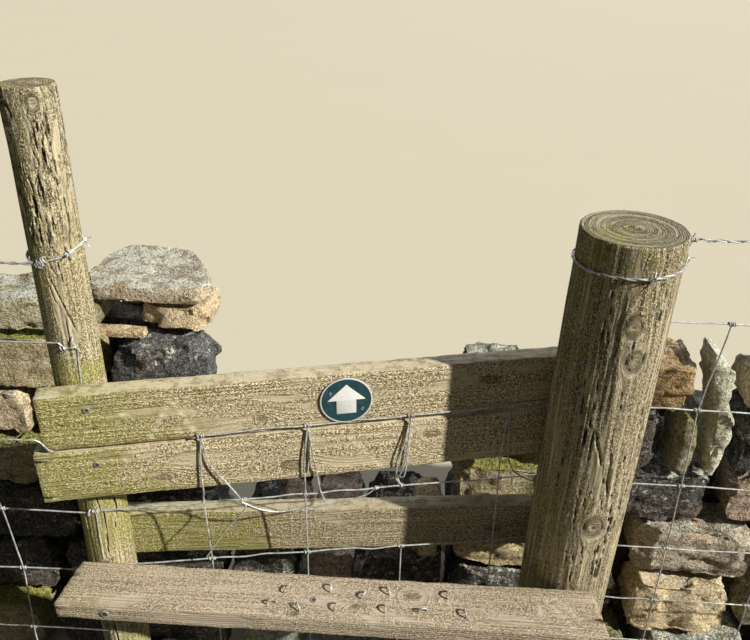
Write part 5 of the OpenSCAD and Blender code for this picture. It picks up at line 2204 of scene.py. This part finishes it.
@dataclass
class Hearting:
    """Packed rubble behind the face stones."""

    node: str
    seed: int
    grid: float = 0.016

    def build(self, node: Piece) -> Piece:
        """Remeshes the core and breaks it into fist-sized stones.

        Args:
            node: CAD node of the core.

        Returns:
            The rubble.
        """
        piece = copy_of(node, self.node + ".rubble")
        even_mesh(piece, self.grid)
        p, n = points_of(piece), normals_of(piece)
        lumps = facets(p * 13.0, self.seed)
        pits = rough(p * 30.0, self.seed + 4, 3)
        p -= n * (np.clip(0.7 - lumps + 0.3 * pits, 0, 1.6) * 0.012)[:, None]
        p[:, 2] = np.maximum(p[:, 2], 0.0)
        move_points(piece, p)
        tone = 0.5 + 0.5 * noise(p * 9.0, self.seed + 8)
        store(piece, "rock", np.outer(0.6 + tone * 0.6, (0.12, 0.10, 0.075)))
        store(piece, "growth", rows(tone * 0.2, tone * 0.1, 0.35 - tone * 0.2))
        return smooth(piece, 42)


@dataclass(frozen=True)
class Studio:
    """Camera of the photograph, the sun from the right, soft sky and a pale floor."""

    place: Point = (0.1049, -1.0719, 1.3432)
    forward: Point = (-0.04912, 0.87987, -0.47267)
    right: Point = (0.99775, 0.06482, 0.01697)
    lens: float = 36.38
    sun_bearing: float = 24.0
    sun_height: float = 32.5
    sky_light: float = 0.115
    sky_seen: float = 0.72
    floor_size: float = 600
    floor_level: float = -0.001

    def camera(self) -> None:
        """Sets up the camera."""
        deselect()
        bpy.ops.object.camera_add(location=self.place)
        camera = bpy.context.object
        ahead = Vector(self.forward).normalized()
        right = Vector(self.right)
        right = (right - ahead * right.dot(ahead)).normalized()
        up = right.cross(ahead)
        turn = Matrix((right, up, -ahead)).transposed()
        camera.matrix_world = Matrix.Translation(self.place) @ turn.to_4x4()
        camera.data.lens = self.lens
        camera.data.sensor_width = 36.0
        camera.data.sensor_fit = "HORIZONTAL"
        camera.data.clip_start = 0.02
        bpy.context.scene.camera = camera

    def lamp(self, bearing: float, height: float, energy: float, spread: float, colour: Colour) -> None:
        """Adds one distant lamp.

        Args:
            bearing: Angle from +X towards the walker, in degrees.
            height: Angle above the ground.
            energy: Strength.
            spread: Width of the lamp in degrees, which softens its shadows.
            colour: Colour of the light.
        """
        a, b = math.radians(bearing), math.radians(height)
        towards = Vector((math.cos(b) * math.cos(a), -math.cos(b) * math.sin(a), math.sin(b)))
        bpy.ops.object.light_add(type="SUN", location=towards * 6)
        lamp = bpy.context.object
        lamp.rotation_euler = towards.to_track_quat("Z", "Y").to_euler()
        lamp.data.energy = energy
        lamp.data.angle = math.radians(spread)
        lamp.data.color = colour

    def light(self) -> None:
        """Adds the sun, a soft lamp for the far side, and a sky that is pale to the camera only."""
        self.lamp(self.sun_bearing, self.sun_height, energy=5.7, spread=1.2, colour=(1.0, 0.965, 0.90))
        self.lamp(-75.0, 12.0, energy=2.2, spread=40.0, colour=(0.92, 0.95, 1.0))
        world = bpy.data.worlds.new("sky")
        bpy.context.scene.world = world
        world.use_nodes = True
        tree = world.node_tree
        sky = tree.nodes["Background"]
        sky.inputs["Color"].default_value = (0.84, 0.90, 1.0, 1.0)
        seen = tree.nodes.new("ShaderNodeLightPath")
        strength = tree.nodes.new("ShaderNodeMapRange")
        strength.inputs["To Min"].default_value = self.sky_light
        strength.inputs["To Max"].default_value = self.sky_seen
        tree.links.new(seen.outputs["Is Camera Ray"], strength.inputs["Value"])
        tree.links.new(strength.outputs[0], sky.inputs["Strength"])

    def floor(self) -> None:
        """Adds the floor."""
        deselect()
        bpy.ops.mesh.primitive_plane_add(size=self.floor_size, location=(0, 0, self.floor_level))
        floor = bpy.context.object
        settle(floor)
        floor.name = "floor"
        floor.data.materials.append(FloorFinish().material())
        floor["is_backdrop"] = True


@dataclass
class Stile:
    """The timber stile with its wires."""

    plan: Layout

    def build(self) -> None:
        """Builds and dresses every timber, wire and fixing."""
        self.posts()
        self.boards()
        self.wires()
        self.fixings()

    @property
    def frames(self) -> dict[str, BoardFrame]:
        """Frame of each board by its node.

        Returns:
            The frames.
        """
        plan = self.plan
        return {
            "top_rail": rail_frame(plan, plan.top_rail_height),
            "middle_rail": rail_frame(plan, plan.middle_rail_height),
            "lower_rail": lower_frame(plan),
            "step_board": step_frame(plan),
        }

    def posts(self) -> None:
        """Both stile posts and both stakes."""
        plan, seats = self.plan, tuple(self.frames.values())
        grey = TimberFinish(
            "left_post_wood",
            (0.40, 0.315, 0.155), (0.27, 0.24, 0.14), (0.085, 0.065, 0.032), (0.76, 0.68, 0.46),
            greyness=0.8, speckle=0.75, streaks=0.70,
        ).material()
        olive = TimberFinish(
            "right_post_wood",
            (0.39, 0.30, 0.155), (0.24, 0.21, 0.125), (0.070, 0.054, 0.028), (0.74, 0.65, 0.45),
            greyness=0.8, speckle=0.65, streaks=0.80,
        ).material()
        left = RoundPost(
            plan, "left", seed=4, sides=144, rings=310,
            knots=(
                Knot(-59, 1.148, 0.008), Knot(-97, 0.990, 0.006), Knot(-122, 1.135, 0.010),
                Knot(110, 0.70, 0.010), Knot(-100, 0.30, 0.009),
            ),
            checks=(
                *splinters(61, 30, (-108, -62), (0.990, 1.085), 0.024, 0.6),
                *splinters(62, 16, (-78, -30), (1.050, 1.155), 0.030, 0.6),
                *splinters(63, 14, (-120, -20), (0.50, 0.97), 0.060, 0.7),
                Check((-66, 1.140), (-45, 1.070), 0.0014, 0.005, 0.006),
                Check((-93, 1.040), (-90, 1.012), 0.0028, 0.007, 0.004),
                Check((-76, 1.068), (-72, 1.044), 0.0020, 0.005, 0.005),
                Check((-91, 0.941), (-47, 0.844), 0.0012, 0.004, 0.0006),
                Check((-93, 0.922), (-82, 0.895), 0.0008, 0.002, 0.0005),
                Check((-28, 1.040), (-30, 0.960), 0.0016, 0.005, 0.003),
                Check((-64, 0.560), (-70, 0.455), 0.0014, 0.005, 0.001),
                Check((60, 1.12), (75, 0.55), 0.0026, 0.008, 0.003),
                Check((150, 0.95), (140, 0.40), 0.0022, 0.007, 0.003),
                Check((-90, 0.40), (-84, 0.10), 0.0020, 0.006, 0.002),
            ),
            algae=((0.45, 0.62, 1.05), (0.76, 0.81, 0.80), (0.0, 0.44, 0.60), (0.84, 1.16, 0.22)),
            seats=seats,
            flaking=(0.93, 1.02, 1.0),
        )
        right = RoundPost(
            plan, "right", seed=9, sides=196, rings=280,
            knots=(
                Knot(-88, 0.901, 0.0115), Knot(-79, 0.852, 0.0120), Knot(-84, 0.576, 0.0140),
                Knot(-82, 0.985, 0.005), Knot(100, 0.64, 0.015), Knot(10, 0.35, 0.014),
            ),
            checks=(
                Check((-83, 0.712), (-74, 0.625), 0.0026, 0.009, 0.002),
                Check((-105, 0.739), (-91, 0.684), 0.0020, 0.006, 0.003),
                *splinters(71, 30, (-135, -25), (0.52, 0.97), 0.09, 0.55),
                *splinters(72, 16, (-80, -40), (0.46, 0.72), 0.07, 0.7),
                Check((-112, 0.905), (-108, 0.870), 0.0016, 0.003, 0.004),
                Check((-45, 0.735), (-24, 0.595), 0.0014, 0.005, 0.003),
                Check((-72, 0.560), (-66, 0.455), 0.0016, 0.005, 0.002),
                Check((-102, 0.520), (-98, 0.455), 0.0016, 0.005, 0.002),
                Check((60, 0.98), (72, 0.50), 0.0030, 0.009, 0.003),
                Check((140, 0.80), (132, 0.30), 0.0026, 0.008, 0.003),
                Check((-70, 0.36), (-62, 0.05), 0.0026, 0.008, 0.003),
            ),
            algae=((0.0, 0.35, 0.35), (0.93, 1.10, 0.16)),
            seats=seats,
            flaking=(0.30, 0.50, 0.30),
        )
        report(left.build(), grey, Slot.POST, ["left_post"])
        report(right.build(), olive, Slot.POST, ["right_post"])
        for node, seed in (("left_stake", 14), ("right_stake", 19)):
            stake = RoundPost(
                plan, node, seed=seed, sides=72, rings=120,
                knots=(Knot(-90, 0.78, 0.009), Knot(40, 0.50, 0.010)),
                checks=(
                    Check((-70, 1.12), (-62, 0.75), 0.0030, 0.008, 0.004),
                    Check((95, 1.05), (90, 0.55), 0.0030, 0.008, 0.004),
                ),
                algae=((0.0, 0.30, 0.5),),
                ripple=0.0009,
            )
            report(stake.build(), grey, Slot.POST, [node])

    def boards(self) -> None:
        """Step and rails."""
        plan, frames = self.plan, self.frames
        rail = TimberFinish(
            "rail_wood",
            (0.52, 0.41, 0.225), (0.38, 0.31, 0.18), (0.120, 0.088, 0.038), (0.86, 0.77, 0.54),
            greyness=0.7, speckle=0.92, streaks=0.35,
        )
        step = TimberFinish(
            "step_wood",
            (0.50, 0.395, 0.262), (0.375, 0.31, 0.215), (0.18, 0.122, 0.072), (0.78, 0.70, 0.54),
            greyness=0.6, speckle=0.70, streaks=0.40,
        )
        dim, dull = shade(rail.clean, 0.70), shade(rail.pale, 0.80)
        shaded = replace(rail, name="lower_rail_wood", clean=dim, pale=dull)
        top = SawnBoard(
            "top_rail", frames["top_rail"], plan, seed=2, algae=(0.02, 0.30),
            knots=(BoardKnot(0.62, 0.030, 0.007), BoardKnot(0.291, 0.064, 0.004)),
            scratches=((0.170, 0.017, 0.136, 0.080), (0.170, 0.017, 0.197, 0.078)),
            holes=((0.066, 0.057, 0.0032), (0.027, 0.046, 0.0020)),
            splits=((0.70, 0.806, 0.045, 0.003),),
        )
        middle = SawnBoard(
            "middle_rail", frames["middle_rail"], plan, seed=5, algae=(0.0, 0.26),
            shift=plan.middle_rail_shift,
            knots=(
                BoardKnot(0.329, 0.060, 0.009), BoardKnot(0.538, 0.028, 0.006),
                BoardKnot(0.146, 0.060, 0.005),
            ),
            scratches=((0.432, 0.021, 0.479, 0.080),),
            holes=((0.066, 0.062, 0.0018),),
            splits=((0.72, 0.806, 0.030, 0.003),),
        )
        lower = SawnBoard(
            "lower_rail", frames["lower_rail"], plan, seed=8, algae=(0.12, 0.46), reach=0.0,
            knots=(BoardKnot(0.66, 0.050, 0.006),),
            splits=((0.70, 0.80, 0.04, 0.003),),
        )
        tread = SawnBoard(
            "step_board", frames["step_board"], plan, seed=11, algae=(0.0, 0.30), flat=True, growth=0.45,
            knots=(
                BoardKnot(0.525, 0.033, 0.006), BoardKnot(0.441, 0.058, 0.004),
                BoardKnot(0.353, 0.077, 0.004),
            ),
            scratches=(
                (0.708, 0.025, 0.716, 0.075), (0.720, 0.022, 0.759, 0.078), (0.735, 0.020, 0.770, 0.060),
            ),
            splits=((0.60, 0.72, 0.066, 0.0015),),
        )
        rail_wood = rail.material()
        for board, wood in ((top, rail_wood), (middle, rail_wood), (lower, shaded.material())):
            report(board.build(), wood, Slot.RAIL, [board.node])
        report(tread.build(), step.material(), Slot.STEP, ["step_board"])

    def wires(self) -> None:
        """Netting and barbed wire."""
        plan = self.plan
        zinc = MetalFinish("galvanised_wire", (0.66, 0.66, 0.62), rusting=0.08, shine=0.30).material()
        net = Netting(plan)
        barbed = BarbedWire(plan)
        half = plan.barbed / 2
        report(net.left_bay(), zinc, Slot.WIRE, ["left_netting"])
        report(net.over_stile(), zinc, Slot.WIRE, ["stile_netting"])
        report(net.right_bay(), zinc, Slot.WIRE, ["right_netting"])
        for node, seed, level, start, finish in (
            ("left_barbed_wire", 7, plan.barbed_height, ("left_stake", -92), ("left", -94)),
            ("right_barbed_wire", 13, plan.right_barbed_height, ("right", 86), ("right_stake", 88)),
        ):
            ends = (plan.around(post, angle, level, half) for post, angle in (start, finish))
            report(barbed.bay(node + ".wire", *ends, seed), zinc, Slot.WIRE, [node])
        report(barbed.ties(), zinc, Slot.WIRE, ["barbed_wire_ties"])

    def fixings(self) -> None:
        """Staples, nails and the waymark."""
        plan = self.plan
        zinc = MetalFinish("worn_zinc", (0.60, 0.60, 0.58), rusting=0.22, shine=0.35).material()
        rusty = MetalFinish("rusty_steel", (0.46, 0.46, 0.44), (0.10, 0.070, 0.045), 0.22, 0.3).material()
        fix = Fixings(plan)
        heights = plan.line_heights
        net = []
        for i in (1, 3, 5, 7):
            net += [("left_stake", -92, heights[i], 12), ("right_stake", 88, heights[i], -10)]
            net.append(("right", 54, heights[i] + Netting.right_lift, 8))
        net += [("left", -98, heights[i], 14) for i in (1, 3, 5)]
        net.append(("left", -66, plan.net_top + 0.003, 20))
        report(fix.post_staples("netting_staples.wire", net), zinc, Slot.WIRE, ["netting_staples"])
        barbed = [
            ("left_stake", -92, plan.barbed_height, 0),
            ("left", -100, plan.barbed_height, 10),
            ("right", 88, plan.right_barbed_height, 0),
            ("right_stake", 88, plan.right_barbed_height, 0),
        ]
        report(fix.post_staples("barbed_staples.wire", barbed), zinc, Slot.WIRE, ["barbed_staples"])
        report(fix.grip(), zinc, Slot.RUST, ["grip_staples"])
        width, thick = plan.board_width, plan.board_thickness
        top, middle, lower, tread = self.frames.values()
        step = tread.matrix
        near, edge = step.to_3x3() @ Vector((0, -1, 0)), -width + 0.0006
        ends = (0.034, plan.post_spacing - 0.012)
        places = [(step @ Vector((x, edge, -thick / 2)), near, 0.013) for x in ends]
        places.append((step @ Vector((0.337, -0.051, -0.0010)), Vector((0, 0, 1)), 0.010))
        report(fix.heads("step_nails.heads", places), rusty, Slot.RUST, ["step_nails"])
        places = []
        for frame, x, y, shares in (
            (top, plan.nail_place, 0.0, (0.27,)),
            (middle, plan.nail_place, 0.0, (0.29,)),
            (top, plan.rail_end, thick, (0.15, 0.6)),
            (middle, plan.rail_end + plan.middle_rail_shift, thick, (0.15, 0.6)),
            (lower, 0.0, thick, (0.3, 0.7)),
            (lower, plan.rail_end, thick, (0.1, 0.52)),
        ):
            flat = Matrix.Translation((*frame.origin, 0)) @ Matrix.Rotation(frame.angle, 4, "Z")
            out = flat.to_3x3() @ Vector((0, 1 if y else -1, 0))
            for share in shares:
                at = flat @ Vector((x, y, frame.top - width * share))
                places.append((at - out * 0.0004, out, 0.0085))
        report(fix.heads("rail_nails.heads", places), rusty, Slot.RUST, ["rail_nails"])
        mark = Waymark(plan)
        green = PlateFinish("waymark_green", (0.012, 0.055, 0.068), (0.06, 0.13, 0.14)).material()
        report(mark.plate(), green, Slot.DISC, ["waymark_disc"])
        white = PlateFinish("waymark_white", (0.78, 0.78, 0.75), (0.66, 0.66, 0.60), tears=0.0).material()
        report(mark.arrow(), white, Slot.ARROW, ["waymark_arrow"])
        pins = []
        for x, y in ((-0.30, 0.18), (0.30, -0.20)):
            at = mark.matrix @ Vector((x * mark.diameter, y * mark.diameter, mark.thickness - 0.0006))
            pins.append((at, mark.matrix.to_3x3() @ Vector((0, 0, 1)), 0.0046))
        report(fix.heads("waymark_pins.heads", pins), rusty, Slot.RUST, ["waymark_pins"])


@dataclass
class Walls:
    """Both wall ends and the sill between them."""

    nodes: dict[str, Piece]

    def build(self) -> None:
        """Builds and dresses every group of stones."""
        finish = StoneFinish("gritstone").material()
        for group in (*self.left_groups(), *self.right_groups(), *self.middle_groups()):
            report(group.build(self.nodes[group.node]), finish, group.slot, [group.node])
        for node, seed in (("left_hearting", 51), ("right_hearting", 52)):
            report(Hearting(node, seed).build(self.nodes[node]), finish, Slot.HEARTING, [node])

    def left_groups(self) -> tuple[StoneGroup, ...]:
        """Stones of the left wall.

        Returns:
            The groups in the order in which they are built.
        """
        face = (
            (-0.56, 0.66, Rock.MOSSY), (-0.32, 0.66, Rock.SLATE), (-0.66, 0.555, Rock.TAN),
            (-0.39, 0.555, Rock.PINK), (-0.565, 0.45, Rock.MOSSY), (-0.33, 0.45, Rock.DARK),
            (-0.645, 0.34, Rock.DARK), (-0.355, 0.34, Rock.DARK), (-0.68, 0.215, Rock.DARK),
            (-0.39, 0.215, Rock.DARK),
        )
        levelling = (
            (-0.44, 0.74, Rock.OLIVE), (-0.377, 0.724, Rock.OCHRE), (-0.30, 0.74, Rock.TAN),
        )
        copes = ((-0.34, 0.78, Rock.PALE), (-0.59, 0.75, Rock.PALE))
        return (
            StoneGroup("left_footing", Slot.GREY, 21, 0.013, BASE, ((-0.71, 0.075, Rock.MOSSY),)),
            StoneGroup("left_near_face", Slot.TAN, 22, 0.0090, WALLING, face),
            StoneGroup("left_far_face", Slot.TAN, 23, 0.014, WALLING),
            StoneGroup("left_wall_ends", Slot.GREY, 24, 0.010, WALLING),
            StoneGroup("left_levelling", Slot.TAN, 25, 0.0060, (Rock.TAN, Rock.BUFF), levelling, chips=5),
            StoneGroup("left_copes", Slot.LICHEN, 26, 0.0070, COPING, copes, chips=4, wear_depth=0.012),
        )

    def right_groups(self) -> tuple[StoneGroup, ...]:
        """Stones of the right wall.

        Returns:
            The groups in the order in which they are built.
        """
        face = (
            (0.30, 0.455, Rock.MOSSY), (0.535, 0.455, Rock.DARK), (0.75, 0.455, Rock.PINK),
            (0.35, 0.34, Rock.OCHRE), (0.625, 0.34, Rock.BUFF), (0.62, 0.215, Rock.TAN),
            (0.353, 0.215, Rock.DARK),
        )
        bedding = ((0.26, 0.556, Rock.GREY), (0.497, 0.571, Rock.DARK))
        beds = (Rock.OLIVE, Rock.GREY, Rock.TAN)
        copes = (
            (0.51, 0.68, Rock.ORANGE), (0.57, 0.574, Rock.OLIVE), (0.607, 0.634, Rock.LIGHT),
            (0.708, 0.573, Rock.DARK), (0.70, 0.674, Rock.PALE), (0.39, 0.558, Rock.GREY),
        )
        return (
            StoneGroup("right_footing", Slot.GREY, 31, 0.013, BASE),
            StoneGroup("right_near_face", Slot.TAN, 32, 0.0085, WALLING, face),
            StoneGroup("right_far_face", Slot.TAN, 33, 0.014, WALLING),
            StoneGroup("right_wall_ends", Slot.GREY, 34, 0.010, WALLING),
            StoneGroup("right_bedding", Slot.TAN, 35, 0.0065, beds, bedding, chips=4),
            StoneGroup("right_copes", Slot.LICHEN, 36, 0.0080, COPING, copes, chips=3, wear_depth=0.012),
        )

    def middle_groups(self) -> tuple[StoneGroup, ...]:
        """Stones of the sill, and the packing of the posts.

        Returns:
            The groups in the order in which they are built.
        """
        # The two dark picks at the foot of the sill are painted shade: they carry the darkness of the shade
        # behind the rails.
        sill = (
            (-0.155, 0.23, Rock.DARK), (-0.03, 0.23, Rock.PINK), (0.106, 0.23, Rock.DARK),
            (-0.10, 0.346, Rock.PINK), (0.148, 0.35, Rock.OCHRE),
        )
        return (
            StoneGroup("sill_lower_course", Slot.GREY, 41, 0.013, (Rock.DARK, Rock.GREY)),
            StoneGroup("sill_upper_course", Slot.TAN, 42, 0.0070, (Rock.TAN,), sill, chips=4),
            StoneGroup("packing_stones", Slot.GREY, 43, 0.008, (Rock.GREY, Rock.TAN)),
        )


def corners(bounds: Iterable[Vector]) -> list[list[float]]:
    """Box corners as plain numbers."""
    return [[float(c) for c in corner] for corner in bounds]


def main() -> None:
    """Builds the studio, the stile and the walls in order."""
    logging.basicConfig(level=logging.INFO, format="%(message)s", force=True)
    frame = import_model()
    cad_box = corners(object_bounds())
    scene = bpy.context.scene
    scene.view_settings.view_transform = "Standard"
    studio = Studio()
    studio.camera()
    studio.light()
    studio.floor()
    Stile(Layout()).build()
    Walls(frame["nodes"]).build()
    {"cad": cad_box, "visual": corners(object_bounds())}


if __name__ == "__main__":
    main()
